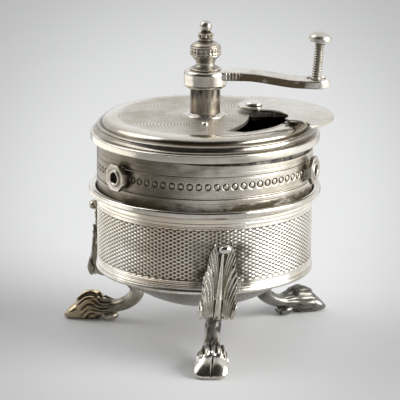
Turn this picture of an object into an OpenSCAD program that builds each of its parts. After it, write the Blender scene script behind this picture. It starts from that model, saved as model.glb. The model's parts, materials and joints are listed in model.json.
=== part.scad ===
// Silver table mill on three hoofed legs: a receiver drum, a mill head that
// lifts off it, and a crank on top that turns a cone burr inside a ring burr.
// The origin lies on the table, under the axis of the spindle.

/* [Drums] */
// Outer radius of the receiver drum and of the hopper drum
drum_r = 30; // [28:0.5:33]
// Thickness of the rolled sheet of both drums
drum_wall = 0.8; // [0.6:0.1:1]
// Height of the rolled receiver drum
receiver_h = 19; // [17:0.5:24]
// Height of the rolled hopper drum
hopper_h = 14.75; // [13.75:0.25:18]
// Width of the flared rim beyond the drum
rim_flare = 2.3; // [1.5:0.1:3]
// Height of the flared rim
rim_h = 2.6; // [2:0.1:3.4]
// Height of the seat inside the rim on which the hopper drum stands
rim_seat_h = 1; // [0.6:0.1:1.4]
// Depth to which the spigot of the mill head reaches into the receiver
spigot_depth = 4.5; // [3:0.5:6]
// Length of the spigot inside the hopper drum
spigot_grip = 4; // [3:0.25:4.5]
// Thickness of the spigot ring
spigot_wall = 0.7; // [0.5:0.1:1]

/* [Base] */
// Height of the underside of the base ring above the table
base_z = 20.1; // [18:0.5:26]
// Height of the moulded base ring
base_ring_h = 1.9; // [1.5:0.1:3]
// How far the bead of the base ring stands out from the drum
base_bead = 0.35; // [0.2:0.05:0.6]
// Width of the base ring between the bowl and the face of the drum
base_shelf = 3.45; // [2.5:0.05:5]
// Depth of the bowl below the base ring
bowl_depth = 10.7; // [8:0.5:11]
// Thickness of the spun bowl
bowl_wall = 0.8; // [0.6:0.1:1.2]

/* [Legs] */
// Height of the acanthus leaf above the underside of the base ring
leaf_h = 14.2; // [12:0.2:18]
// Width of the leaf of a leg at its foot
leaf_w = 11; // [9:0.5:12]
// Reach of a hoof beyond the face of the drum
leg_reach = 12.5; // [10:0.5:14]
// Sideways lean of the front leg, in degrees
front_lean = 7.3; // [0:0.1:10]
// Turn of the front leg about its seat on the drum, in degrees
front_twist = 6.3; // [0:0.1:10]
// Sections along a leg
leg_rings = 44; // [30:1:60]
// Corners of a section of a leg
leg_sides = 14; // [10:2:20]

/* [Lid] */
// Radius of the rounded rim of the lid
lid_rim_r = 31.8; // [31.2:0.1:33.5]
// Height of the rounded rim of the lid
lid_rim_h = 2; // [1.6:0.1:2.4]
// Height of the lid from its rim to its flat top
lid_h = 6.3; // [5.5:0.1:8]
// Radius of the moulded ridge round the lid
lid_ridge_r = 29.9; // [29.4:0.1:30.2]
// Radius of the flat top of the lid
lid_top_r = 25.8; // [25:0.1:26.5]
// Thickness of the spun lid
lid_wall = 0.9; // [0.7:0.1:1.1]
// Depth of the flange that locates the lid inside the hopper drum
lid_flange_h = 3; // [2:0.25:3.2]

/* [Fill opening and cover] */
// Direction of the middle of the fill opening
fill_turn = -7.5; // [-30:0.5:30]
// Outer radius of the fill opening
opening_r = 23.3; // [22:0.1:23.8]
// Radius of the bulging inner edge of the fill opening
bulge_r = 32.1; // [30:0.1:34]
// Reach of the bulging inner edge from the axis
bulge_reach = 12.1; // [11:0.1:13]
// Margin between the fill opening and the pivot of the cover
opening_margin = 3.9; // [3.4:0.1:5]
// Width of the notch in the outer edge of the fill opening
notch_w = 1.1; // [0.8:0.1:1.6]
// Distance of the cover pivot from the axis
pivot_r = 14.7; // [14:0.1:15.5]
// Direction of the cover pivot from the middle of the fill opening
pivot_turn = 22.4; // [18:0.2:26]
// Thickness of the swinging cover
cover_t = 0.8; // [0.6:0.1:1.2]
// Radius of the long outer edge of the cover
cover_r = 20.1; // [19:0.1:21]
// Radius of the round end of the cover at its pivot
cover_end_r = 4.6; // [4:0.1:5.2]
// Radius of the bay in the inner edge of the cover
cover_bay_r = 6.2; // [5.6:0.1:6.6]
// Radius of the hollow in the free end of the cover
cover_hollow_r = 4.6; // [4:0.1:5]
// Radius of the shank of the pivot screw
pivot_pin_r = 1.1; // [0.8:0.05:1.4]
// Radius of the domed head of the pivot screw
pivot_head_r = 2.35; // [2:0.05:2.8]
// Distance of the stop stud from the axis
stud_at = 12; // [11.4:0.1:13]
// Radius of the domed head of the stop stud
stud_r = 1; // [0.7:0.05:1.3]

/* [Bosses] */
// Height of the boss centres above the foot of the hopper drum
boss_h = 8.15; // [7.5:0.1:9]
// Width of an octagonal boss across its flats
boss_flats = 7.3; // [6:0.1:8]
// How far a boss stands out from the drum
boss_reach = 2.5; // [2:0.1:3.2]
// Thickness of the octagonal head of a boss
boss_head_t = 1.5; // [1:0.1:1.8]
// Radius of the round neck behind the head of a boss
boss_neck_r = 2.9; // [2.6:0.1:3.2]
// Radius of the bore through a boss
boss_bore_r = 1.45; // [1.2:0.05:1.7]
// Depth of the frame screws below the face of a boss
screw_depth = 1.3; // [0.8:0.1:2]

/* [Neck] */
// Outer radius of the neck sleeve
sleeve_r = 4.15; // [3.8:0.05:4.6]
// Height of the neck sleeve above the lid
sleeve_h = 7.8; // [7:0.1:11]
// Radius of the threaded spigot of the sleeve through the lid
sleeve_spigot_r = 3.5; // [3.3:0.05:3.7]
// Outer radius of the collar at the foot of the sleeve
collar_r = 5.7; // [5.2:0.1:6.4]
// Height of the collar at the foot of the sleeve
collar_h = 0.9; // [0.6:0.1:1.4]
// Width across the flats of the nut that holds the sleeve
sleeve_nut_flats = 10; // [9:0.25:12]
// Height of the nut that holds the sleeve
sleeve_nut_h = 2; // [1.5:0.1:2.6]

/* [Crank] */
// Direction of the crank arm at rest
crank_turn = -12; // [-60:1:60]
// Radius of the crank hub
hub_r = 5.95; // [5.4:0.05:6.6]
// Height of the crank hub
hub_h = 5.05; // [4.4:0.05:6]
// Thickness of the crank arm
arm_t = 2.6; // [2.2:0.1:3]
// Width of the crank arm
arm_w = 7; // [5.5:0.1:8]
// Drop of the crank arm in its bend
arm_drop = 2; // [1:0.1:2.6]
// Distance of the handle post from the axis
post_at = 30.5; // [27:0.1:36]
// Radius of the round end of the crank arm
arm_end_r = 3.9; // [3.5:0.1:4.5]
// Radius of the handle post
post_r = 1.5; // [1.3:0.05:1.8]
// Length of the handle post from the arm to its head
post_h = 10.6; // [8:0.2:16]
// Outward lean of the handle post
post_lean = 4.7; // [0:0.1:6]
// Radius of the domed head of the handle post
post_head_r = 3.1; // [2.6:0.1:4]
// Height of the domed head of the handle post
post_head_h = 2.7; // [2:0.1:4]
// Radius of the shallow round recess in the end of the arm
recess_r = 2.7; // [2.4:0.1:3]
// Depth of the shallow round recess in the end of the arm
recess_depth = 0.4; // [0.2:0.05:0.6]

/* [Finial] */
// Height of the finial nut from the hub to the top of its ball
finial_h = 13.6; // [12:0.1:18]
// Radius of the milled band of the finial nut
finial_r = 4.3; // [3.8:0.1:5]
// Radius of the ball on top of the finial nut
finial_ball_r = 1.7; // [1.4:0.05:2]
// Rise of the adjusting thread in one turn
thread_pitch = 0.6; // [0.4:0.05:0.8]

/* [Mill] */
// Radius of the spindle in its bearings
spindle_r = 2.5; // [2.3:0.05:2.7]
// Width of the square on the spindle
square_w = 3.4; // [3:0.05:3.4]
// Radius of the thread at the top of the spindle
top_thread_r = 1.5; // [1.3:0.05:1.6]
// Radius of the seat of the cone burr on the spindle
seat_r = 2; // [1.8:0.05:2.1]
// Radius of the thread at the foot of the spindle
foot_thread_r = 1.6; // [1.4:0.05:1.7]
// Height of the rim of the mill frame
frame_rim_h = 6; // [5:0.25:6.2]
// Width of the rim of the mill frame
frame_rim_w = 3.9; // [3:0.1:5]
// Drop of the funnel from the rim to the burr housing
funnel_drop = 5.6; // [4.5:0.1:7]
// Thickness of the wall of the funnel
funnel_wall = 1.7; // [1.2:0.1:2]
// Height of the burr housing
housing_h = 8.5; // [8:0.1:10]
// Thickness of the wall of the burr housing
housing_wall = 1.6; // [1.2:0.1:2]
// Outer radius of the ring burr
ring_burr_r = 7.95; // [7.6:0.05:9]
// Grinding gap at the foot of the burrs, with the finial nut tightened down
burr_gap = 0.45; // [0.35:0.05:0.8]
// Number of teeth on each burr
burr_teeth = 12; // [8:1:16]
// Width of the bridge bar over the mill frame
bridge_w = 9; // [8:0.2:11]
// Thickness of the bridge bar
bridge_t = 2; // [1.6:0.1:2.4]
// Direction of the bridge bar
bridge_turn = 60; // [40:5:80]

/* [Clearances] */
// Radial play of a shaft in its bearing
running_fit = 0.05; // [0.03:0.01:0.08]
// Play between pieces that are soldered, screwed or pressed together
joint_fit = 0.03; // [0.02:0.01:0.05]
// Play of the mill head in the receiver
slip_fit = 0.2; // [0.15:0.05:0.3]
// Height of the cover above the lid
cover_gap = 0.12; // [0.1:0.02:0.3]

/* [Hidden] */
$fn = 96;
eps = 0.01;

silver = [0.72, 0.70, 0.66];
dark_silver = [0.55, 0.52, 0.46];
steel = [0.45, 0.45, 0.46];
brass = [0.72, 0.58, 0.32];

// Radius of the bowl where it leaves the base ring
bowl_r = drum_r - base_shelf;

// Heights from the table upwards
receiver_z = base_z + base_ring_h;
rim_z = receiver_z + receiver_h;
seat_z = rim_z + rim_seat_h;
rim_top_z = rim_z + rim_h;
hopper_z = seat_z + running_fit;
boss_z = hopper_z + boss_h;
lid_z = hopper_z + hopper_h;
lid_top_z = lid_z + lid_h;
lid_under_z = lid_top_z - lid_wall;
sleeve_top_z = lid_top_z + sleeve_h;
hub_z = sleeve_top_z + running_fit;
hub_top_z = hub_z + hub_h;
finial_z = hub_top_z + running_fit;
finial_top_z = finial_z + finial_h;

// Mill frame, burrs and bridge
drum_in_r = drum_r - drum_wall;
frame_play = 0.1;
frame_z = boss_z - frame_rim_h / 2;
frame_top_z = boss_z + frame_rim_h / 2;
frame_r = drum_in_r - frame_play;
frame_in_r = frame_r - frame_rim_w;
housing_top_z = frame_z - funnel_drop;
housing_z = housing_top_z - housing_h;
housing_in_r = ring_burr_r + running_fit;
housing_r = housing_in_r + housing_wall;
housing_lip_h = 0.8;
housing_lip_w = 0.7;
burr_z = housing_z + housing_lip_h;
burr_h = housing_top_z - burr_z - frame_play;
ring_foot_r = ring_burr_r - 1.05;
ring_head_r = ring_burr_r - 2.75;
cone_foot_r = ring_foot_r - burr_gap;
cone_head_r = seat_r + 1.2;
tooth_depth = 0.5;
tooth_w = 0.7;
bridge_z = frame_top_z;
bridge_top_z = bridge_z + bridge_t;
bridge_end_r = frame_r - 1.6;
bridge_screw_at = frame_in_r + 1;
bridge_screw_r = 0.8;
bush_r = spindle_r + 1.1;
bush_drop = 1.5;
bush_flange_w = 1;
bush_flange_h = 0.8;
burr_nut_h = 2;
burr_nut_flats = 5.6;
spindle_shoulder_z = burr_z + burr_h;
square_sink = 0.8;
thread_end = 0.6;
square_z = sleeve_top_z - square_sink;
square_top_z = hub_top_z - thread_pitch;
spindle_top_z = finial_z + 0.42 * finial_h;
spindle_foot_z = burr_z - burr_nut_h - thread_end;

// Bosses and frame screws
boss_turns = [-27, 93, 213];
boss_face_r = drum_r + boss_reach;
boss_spigot_r = boss_bore_r + 0.55;
frame_thread_r = 1.15;
frame_thread_depth = 2.6;
thread_play = 0.3;
slot_w = 0.5;

// Lid, opening and cover, in the frame of the fill opening
lid_flange_r = drum_in_r - slip_fit;
pivot = pivot_r * [cos(pivot_turn), sin(pivot_turn)];
opening_back_y = pivot[1] - opening_margin;
opening_tip = [5.5, -19.4];
opening_front_turn = -14.3;
notch_turn = -24;
notch_depth = 1.4;
cover_z = lid_top_z + cover_gap;
cover_top_z = cover_z + cover_t;
cover_centre = pivot + [1.8, -8.5];
bay_centre = pivot + [3, -11.6];
hollow_centre = pivot + [10.15, -21.5];
cover_corner = pivot + [8.9, -16.1];
pivot_head_h = 1.15;
pivot_nut_w = 3.6;
pivot_nut_h = 1.3;
stud_turn = -90;
stud_h = 0.9;

// Crank arm and handle post
arm_top_z = hub_top_z;
arm_step = 0.25;
arm_bend = [11, 27];
tenon_w = 4;
tenon_t = 1.2;
tenon_in = 1.9;
post_tenon_r = post_r - 0.3;
washer_r = 2.3;
washer_t = 0.6;
washer_sink = 0.25;
post_foot_z = arm_top_z - arm_drop - recess_depth;
counterbore_depth = washer_t + washer_sink;

function ellipse_arc(centre, rx, ry, from, to, steps) =
    [for (i = [0 : steps]) let (a = from + (to - from) * i / steps)
        centre + [rx * cos(a), ry * sin(a)]];

function blend(x, x0, x1) =
    let (t = max(0, min(1, (x - x0) / (x1 - x0)))) t * t * (3 - 2 * t);

// Receiver

module receiver_drum() {
    color(silver)
    translate([0, 0, receiver_z])
    difference() {
        cylinder(h = receiver_h, r = drum_r);
        translate([0, 0, -eps]) cylinder(h = receiver_h + 2 * eps, r = drum_in_r);
    }
}

// The rim flares out from the drum, and the hopper drum stands on the seat inside it.
module receiver_rim() {
    lip_r = drum_r + rim_flare;
    mouth_r = drum_r + slip_fit;
    lip_h = rim_h * 0.45;
    color(silver)
    translate([0, 0, rim_z])
    rotate_extrude()
    polygon(concat(
        [[drum_in_r, 0], [drum_r, 0]],
        ellipse_arc([lip_r, 0], -rim_flare, rim_h - lip_h, 0, 70, 5),
        ellipse_arc([lip_r - lip_h / 2, rim_h - lip_h / 2], lip_h / 2, lip_h / 2, -45, 90, 6),
        [[mouth_r, rim_h], [mouth_r, rim_seat_h], [drum_in_r, rim_seat_h]]));
}

// A flat ring with a rounded bead, on which the drum and the flange of the bowl stand.
module base_ring() {
    bead_r = base_ring_h / 2;
    color(silver)
    translate([0, 0, base_z])
    rotate_extrude()
    polygon(concat(
        [[bowl_r + joint_fit, 0], [drum_r + base_bead - bead_r, 0]],
        ellipse_arc([drum_r + base_bead - bead_r, bead_r], bead_r, bead_r, -80, 80, 8),
        [[drum_r + base_bead - bead_r, base_ring_h], [bowl_r + joint_fit, base_ring_h]]));
}

function bowl_sphere_r() = (bowl_r * bowl_r + bowl_depth * bowl_depth) / (2 * bowl_depth);
function bowl_centre_z() = base_z - bowl_depth + bowl_sphere_r();

module bowl_solid(inset) {
    intersection() {
        translate([0, 0, bowl_centre_z()]) sphere(r = bowl_sphere_r() - inset);
        cylinder(h = base_z + eps, r = bowl_r - inset);
    }
    translate([0, 0, base_z]) cylinder(h = base_ring_h + joint_fit + bowl_wall, r = bowl_r - inset);
}

module receiver_bowl() {
    color(silver)
    difference() {
        union() {
            bowl_solid(0);
            translate([0, 0, receiver_z + joint_fit]) cylinder(h = bowl_wall, r = drum_in_r - joint_fit);
        }
        bowl_solid(bowl_wall);
        translate([0, 0, receiver_z]) cylinder(h = 3 * bowl_wall, r = bowl_r - bowl_wall);
    }
}

// A leg is a skin over rounded sections. Each station gives the distance from the face of
// the drum as a share of the reach, the height, and half the thickness and half the width
// as shares of the width of the leaf. Heights up to 1 are shares of the base height, and
// from 1 to 2 they climb the leaf.
leg_stations = [
    [0.184, 2, 0.027, 0.109], [0.208, 1.95, 0.182, 0.264], [0.184, 1.86, 0.227, 0.309],
    [0.112, 1.75, 0.173, 0.318], [0.088, 1.55, 0.173, 0.382], [0.088, 1.3, 0.173, 0.436],
    [0.096, 1.09, 0.191, 0.482], [0.072, 0.92, 0.282, 0.5], [-0.024, 0.79, 0.282, 0.455],
    [-0.288, 0.71, 0.2, 0.327], [-0.576, 0.645, 0.173, 0.245], [-0.752, 0.54, 0.191, 0.227],
    [-0.696, 0.41, 0.191, 0.209], [-0.48, 0.295, 0.173, 0.191], [-0.208, 0.22, 0.155, 0.191],
    [0.08, 0.2, 0.236, 0.291], [0.32, 0.195, 0.327, 0.327], [0.56, 0.15, 0.3, 0.391],
    [0.768, 0.095, 0.209, 0.436], [0.928, 0.055, 0.109, 0.364], [1, 0.035, 0.027, 0.136]
];

function leg_height(t) = t <= 1 ? t * base_z : base_z + (t - 1) * leaf_h;
function leg_point(i) =
    let (s = leg_stations[max(0, min(len(leg_stations) - 1, i))])
    [drum_r + leg_reach * s[0], leg_height(s[1]), leaf_w * s[2], leaf_w * s[3]];
function curve_point(a, b, c, d, t) =
    0.5 * (2 * b + (c - a) * t + (2 * a - 5 * b + 4 * c - d) * t * t + (3 * b - a - 3 * c + d) * t * t * t);
function leg_section(u) =
    let (i = min(len(leg_stations) - 2, floor(u)))
    curve_point(leg_point(i - 1), leg_point(i), leg_point(i + 1), leg_point(i + 2), u - i);
function leg_ring(k) =
    let (
        u = k * (len(leg_stations) - 1) / leg_rings,
        s = leg_section(u),
        ahead = leg_section(min(len(leg_stations) - 1, u + 0.05)),
        behind = leg_section(max(0, u - 0.05)),
        run = [ahead[0] - behind[0], ahead[1] - behind[1]],
        along = run / norm(run),
        half_t = max(leaf_w / 80, s[2]),
        half_w = max(leaf_w / 40, s[3]))
    [for (j = [0 : leg_sides - 1]) let (a = 360 * j / leg_sides)
        [s[0] - along[1] * half_t * cos(a), half_w * sin(a), s[1] + along[0] * half_t * cos(a)]];

module leg_skin(lean) {
    points = [for (k = [0 : leg_rings]) for (p = leg_ring(k))
        [p[0], p[1] + tan(lean) * (p[2] - base_z), p[2]]];
    sides = [for (k = [0 : leg_rings - 1]) for (j = [0 : leg_sides - 1])
        let (a = k * leg_sides + j, b = k * leg_sides + (j + 1) % leg_sides)
        each [[a, b, a + leg_sides], [b, b + leg_sides, a + leg_sides]]];
    top = [for (j = [leg_sides - 1 : -1 : 0]) j];
    tip = [for (j = [0 : leg_sides - 1]) leg_rings * leg_sides + j];
    polyhedron(points = points, faces = concat(sides, [top], [tip]), convexity = 8);
}

// The leaf seats on the drum and the base ring, and the hoof is cut flat on the table.
module leg(turn, lean, twist) {
    bead_r = drum_r + base_bead;
    seat_x = drum_r + leaf_w / 4;
    color(silver)
    rotate([0, 0, turn])
    difference() {
        translate([seat_x, 0, 0]) rotate([0, 0, -twist]) translate([-seat_x, 0, 0]) leg_skin(lean);
        translate([0, 0, base_z - joint_fit]) cylinder(h = 2 * leaf_h, r = drum_r + joint_fit);
        translate([0, 0, base_z - joint_fit])
            cylinder(h = base_ring_h + 2 * joint_fit, r = bead_r + joint_fit);
        bowl_solid(-joint_fit);
        translate([0, 0, -base_z]) cylinder(h = base_z, r = 3 * drum_r);
    }
}

module leg_front() {
    leg(-90, front_lean, front_twist);
}

module leg_right() {
    leg(30, 0, 0);
}

module leg_left() {
    leg(150, 0, 0);
}

// Mill head

module hopper_drum() {
    color(silver)
    difference() {
        translate([0, 0, hopper_z]) cylinder(h = hopper_h, r = drum_r);
        translate([0, 0, hopper_z - eps]) cylinder(h = hopper_h + 2 * eps, r = drum_in_r);
        for (turn = boss_turns)
            radial(turn) cylinder(h = 2 * drum_r, r = boss_spigot_r + joint_fit);
    }
}

// Turns the z axis outwards along a radius at the height of the bosses.
module radial(turn) {
    rotate([0, 0, turn]) translate([0, 0, boss_z]) rotate([0, 90, 0]) children();
}

// The lower length slips into the receiver, and the upper length is soldered in the hopper drum.
module hopper_spigot() {
    low_r = drum_in_r - slip_fit;
    high_r = drum_in_r - joint_fit;
    in_r = low_r - spigot_wall;
    color(dark_silver)
    rotate_extrude()
    polygon([
        [in_r, seat_z - spigot_depth], [low_r, seat_z - spigot_depth], [low_r, hopper_z],
        [high_r, hopper_z], [high_r, hopper_z + spigot_grip], [in_r, hopper_z + spigot_grip]]);
}

function lid_profile() =
    let (
        edge_r = lid_rim_h / 2,
        ridge_z = lid_z + 0.63 * lid_h,
        ridge_round = 0.35,
        cove_r = lid_rim_r - edge_r,
        step_r = lid_ridge_r - 1.1,
        hole_r = sleeve_spigot_r + joint_fit)
    concat(
        [[lid_flange_r, lid_z]],
        ellipse_arc([cove_r, lid_z + edge_r], edge_r, edge_r, -90, 90, 10),
        ellipse_arc([cove_r, ridge_z], lid_ridge_r - cove_r, lid_z + lid_rim_h - ridge_z, 90, 10, 5),
        ellipse_arc([step_r, ridge_z], lid_ridge_r - step_r, ridge_round, 0, 90, 4),
        ellipse_arc([lid_top_r, ridge_z + ridge_round], step_r - lid_top_r,
            lid_top_z - ridge_z - ridge_round, 8, 90, 7),
        [
            [hole_r, lid_top_z], [hole_r, lid_under_z], [lid_top_r - lid_wall, lid_under_z],
            [step_r - lid_wall, ridge_z - lid_wall], [lid_flange_r - lid_wall, lid_z + lid_rim_h / 2],
            [lid_flange_r - lid_wall, lid_z - lid_flange_h], [lid_flange_r, lid_z - lid_flange_h]
        ]);

// The opening is a crescent: a round outer edge, and an inner edge that bulges out from the neck.
module opening_outline() {
    difference() {
        circle(r = opening_r);
        translate([bulge_reach - bulge_r, 0]) circle(r = bulge_r);
        translate([-2 * opening_r, opening_back_y]) square(4 * opening_r);
        translate(opening_tip) rotate(opening_front_turn)
            translate([-2 * opening_r, -4 * opening_r]) square(4 * opening_r);
    }
    rotate(notch_turn)
        translate([opening_r - notch_depth, -notch_w / 2]) square([2 * notch_depth, notch_w]);
}

module lid() {
    color(silver)
    difference() {
        rotate_extrude() polygon(lid_profile());
        rotate([0, 0, fill_turn])
        translate([0, 0, lid_under_z - lid_wall / 2]) {
            linear_extrude(2 * lid_wall) opening_outline();
            translate(pivot) cylinder(h = 2 * lid_wall, r = pivot_pin_r + joint_fit);
            rotate([0, 0, stud_turn]) translate([stud_at, 0, 0])
                cylinder(h = 2 * lid_wall, r = stud_r / 2 + joint_fit);
        }
    }
}

module boss(turn) {
    head_z = boss_face_r - boss_head_t;
    color(silver)
    difference() {
        radial(turn) {
            translate([0, 0, head_z])
                rotate([0, 0, 22.5]) cylinder(h = boss_head_t, d = boss_flats / cos(22.5), $fn = 8);
            translate([0, 0, drum_r - boss_reach])
                cylinder(h = 2 * boss_reach - boss_head_t, r = boss_neck_r);
        }
        cylinder(h = lid_top_z, r = drum_r + joint_fit);
        radial(turn) cylinder(h = 2 * drum_r, r = boss_bore_r);
    }
    color(silver)
    radial(turn)
    translate([0, 0, drum_in_r])
    difference() {
        cylinder(h = drum_wall + boss_reach / 2, r = boss_spigot_r);
        translate([0, 0, -eps]) cylinder(h = drum_wall + boss_reach, r = boss_bore_r);
    }
}

module boss_right() {
    boss(boss_turns[0]);
}

module boss_back() {
    boss(boss_turns[1]);
}

module boss_left() {
    boss(boss_turns[2]);
}

// Slotted screws sunk in the bosses and threaded into the rim of the mill frame.
module frame_screws() {
    head_r = boss_bore_r - joint_fit;
    end_r = boss_face_r - screw_depth;
    color(steel)
    for (turn = boss_turns)
        radial(turn)
        difference() {
            union() {
                translate([0, 0, drum_in_r]) cylinder(h = end_r - drum_in_r, r = head_r);
                translate([0, 0, frame_r - frame_thread_depth])
                    cylinder(h = frame_thread_depth + drum_in_r - frame_r, r = frame_thread_r);
            }
            translate([-2 * head_r, -slot_w / 2, end_r - slot_w]) cube([4 * head_r, slot_w, 2 * slot_w]);
        }
}

module neck_sleeve() {
    spigot_h = lid_wall + sleeve_nut_h + thread_end;
    color(dark_silver)
    translate([0, 0, lid_top_z])
    difference() {
        union() {
            cylinder(h = sleeve_h, r = sleeve_r);
            translate([0, 0, -spigot_h]) cylinder(h = spigot_h + eps, r = sleeve_spigot_r);
        }
        translate([0, 0, -spigot_h - eps])
            cylinder(h = spigot_h + sleeve_h + 2 * eps, r = spindle_r + running_fit);
    }
}

module sleeve_collar() {
    color(silver)
    translate([0, 0, lid_top_z])
    rotate_extrude()
    polygon(concat(
        [[sleeve_r + joint_fit, 0], [collar_r, 0]],
        ellipse_arc([sleeve_r + joint_fit, 0], collar_r - sleeve_r - joint_fit, collar_h, 15, 90, 6)));
}

module sleeve_nut() {
    color(brass)
    translate([0, 0, lid_under_z - sleeve_nut_h])
    difference() {
        cylinder(h = sleeve_nut_h, d = sleeve_nut_flats / cos(30), $fn = 6);
        translate([0, 0, -eps]) cylinder(h = sleeve_nut_h + 2 * eps, r = sleeve_spigot_r + joint_fit);
    }
}

// A dome of the given radius and height, standing on a short rim.
module dome(r, h) {
    rim = h / 4;
    rotate_extrude()
    polygon(concat([[0, 0], [r, 0]], ellipse_arc([0, rim], r, h - rim, 0, 90, 8)));
}

module pivot_screw() {
    shank_h = cover_top_z + joint_fit - lid_under_z + pivot_nut_h + thread_end;
    color(silver)
    rotate([0, 0, fill_turn])
    translate([pivot[0], pivot[1], cover_top_z + joint_fit]) {
        dome(pivot_head_r, pivot_head_h);
        translate([0, 0, -shank_h]) cylinder(h = shank_h + eps, r = pivot_pin_r);
    }
}

module pivot_nut() {
    color(brass)
    rotate([0, 0, fill_turn])
    translate([pivot[0], pivot[1], lid_under_z - pivot_nut_h])
    difference() {
        translate([-pivot_nut_w / 2, -pivot_nut_w / 2, 0]) cube([pivot_nut_w, pivot_nut_w, pivot_nut_h]);
        translate([0, 0, -eps]) cylinder(h = pivot_nut_h + 2 * eps, r = pivot_pin_r + joint_fit);
    }
}

module stop_stud() {
    color(silver)
    rotate([0, 0, fill_turn + stud_turn])
    translate([stud_at, 0, lid_top_z]) {
        dome(stud_r, stud_h);
        translate([0, 0, -lid_wall]) cylinder(h = lid_wall + eps, r = stud_r / 2);
    }
}

// The cover as it stands open: a broad leaf with a round pivot end, a bay in its inner edge
// and a hollow in its free end.
module cover_outline() {
    tangent_a = pivot + cover_end_r * [cos(170), sin(170)];
    tangent_b = cover_centre + cover_r * [cos(97), sin(97)];
    end_b = pivot + cover_end_r * [cos(-80), sin(-80)];
    end_line = [7.5, -9.2];
    difference() {
        union() {
            translate(pivot) circle(r = cover_end_r);
            intersection() {
                translate(cover_centre) circle(r = cover_r);
                polygon([
                    pivot, tangent_a, tangent_b, tangent_b + [2 * cover_r, cover_r],
                    cover_corner + [2 * cover_r, 0], cover_corner + end_line, cover_corner, end_b]);
            }
        }
        translate(bay_centre) circle(r = cover_bay_r);
        translate(hollow_centre) circle(r = cover_hollow_r);
        translate(pivot) circle(r = pivot_pin_r + running_fit);
    }
}

module fill_cover() {
    color(silver)
    rotate([0, 0, fill_turn])
    translate([0, 0, cover_z])
    linear_extrude(cover_t) cover_outline();
}

// Mill frame: a rim screwed to the bosses, a funnel, and the housing of the ring burr.
module mill_frame() {
    color(steel)
    difference() {
        rotate_extrude()
        polygon([
            [housing_in_r - housing_lip_w, housing_z], [housing_r, housing_z],
            [housing_r, housing_top_z - funnel_wall], [frame_in_r, frame_z], [frame_r, frame_z],
            [frame_r, frame_top_z], [frame_in_r, frame_top_z], [frame_in_r, frame_z + funnel_wall],
            [housing_in_r, housing_top_z], [housing_in_r, burr_z], [housing_in_r - housing_lip_w, burr_z]]);
        for (turn = boss_turns)
            radial(turn) translate([0, 0, frame_r - frame_thread_depth - thread_play])
                cylinder(h = frame_thread_depth + 1, r = frame_thread_r + joint_fit);
        for (side = [0, 180])
            rotate([0, 0, bridge_turn + side])
                translate([bridge_screw_at, 0, frame_top_z - frame_rim_h / 2])
                    cylinder(h = frame_rim_h, r = bridge_screw_r + joint_fit);
    }
}

// Straight furrows down a conical wall, one for each tooth.
module furrows(head_r, foot_r) {
    slope = atan((foot_r - head_r) / burr_h);
    for (k = [0 : burr_teeth - 1])
        rotate([0, 0, 360 * k / burr_teeth])
        translate([foot_r, 0, burr_z])
        rotate([0, -slope, 0])
        translate([-tooth_depth, -tooth_w / 2, -burr_h / 2])
        cube([2 * tooth_depth, tooth_w, 2 * burr_h]);
}

module ring_burr() {
    color(steel)
    difference() {
        rotate_extrude()
        polygon([
            [ring_foot_r, burr_z + joint_fit], [ring_burr_r, burr_z + joint_fit],
            [ring_burr_r, burr_z + burr_h], [ring_head_r, burr_z + burr_h]]);
        furrows(ring_head_r, ring_foot_r);
    }
}

module cone_burr() {
    color(steel)
    difference() {
        rotate_extrude()
        polygon([
            [seat_r + joint_fit, burr_z + joint_fit], [cone_foot_r, burr_z + joint_fit],
            [cone_head_r, burr_z + burr_h - joint_fit], [seat_r + joint_fit, burr_z + burr_h - joint_fit]]);
        furrows(cone_head_r, cone_foot_r);
    }
}

module burr_nut() {
    color(steel)
    translate([0, 0, burr_z - burr_nut_h])
    difference() {
        cylinder(h = burr_nut_h, d = burr_nut_flats / cos(30), $fn = 6);
        translate([0, 0, -eps]) cylinder(h = burr_nut_h + 2 * eps, r = foot_thread_r + joint_fit);
    }
}

// From the foot up: thread, seat of the cone burr, bearing length, square, and adjusting thread.
module spindle() {
    color(steel)
    union() {
        translate([0, 0, spindle_foot_z]) cylinder(h = burr_z - spindle_foot_z + eps, r = foot_thread_r);
        translate([0, 0, burr_z]) cylinder(h = spindle_shoulder_z - burr_z + eps, r = seat_r);
        translate([0, 0, spindle_shoulder_z]) cylinder(h = square_z - spindle_shoulder_z, r = spindle_r);
        rotate([0, 0, crank_turn])
            translate([-square_w / 2, -square_w / 2, square_z - eps])
            cube([square_w, square_w, square_top_z - square_z + eps]);
        translate([0, 0, square_top_z - eps])
            cylinder(h = spindle_top_z - square_top_z + eps, r = top_thread_r);
    }
}

module bearing_bridge() {
    color(steel)
    rotate([0, 0, bridge_turn])
    translate([0, 0, bridge_z])
    difference() {
        intersection() {
            translate([-2 * drum_r, -bridge_w / 2, 0]) cube([4 * drum_r, bridge_w, bridge_t]);
            cylinder(h = bridge_t, r = bridge_end_r);
        }
        translate([0, 0, -eps]) cylinder(h = bridge_t + 2 * eps, r = bush_r + joint_fit);
        for (side = [-1, 1])
            translate([side * bridge_screw_at, 0, -eps])
            cylinder(h = bridge_t + 2 * eps, r = bridge_screw_r + joint_fit);
    }
}

module bridge_screws() {
    thread_h = bridge_t + frame_rim_h / 2 - thread_play;
    head_r = 1.9 * bridge_screw_r;
    color(steel)
    rotate([0, 0, bridge_turn])
    for (side = [-1, 1])
        translate([side * bridge_screw_at, 0, bridge_top_z + joint_fit])
        difference() {
            union() {
                dome(head_r, bridge_screw_r);
                translate([0, 0, -thread_h]) cylinder(h = thread_h + eps, r = bridge_screw_r);
            }
            translate([-2 * head_r, -slot_w / 2, bridge_screw_r - slot_w])
                cube([4 * head_r, slot_w, 2 * slot_w]);
        }
}

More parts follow.
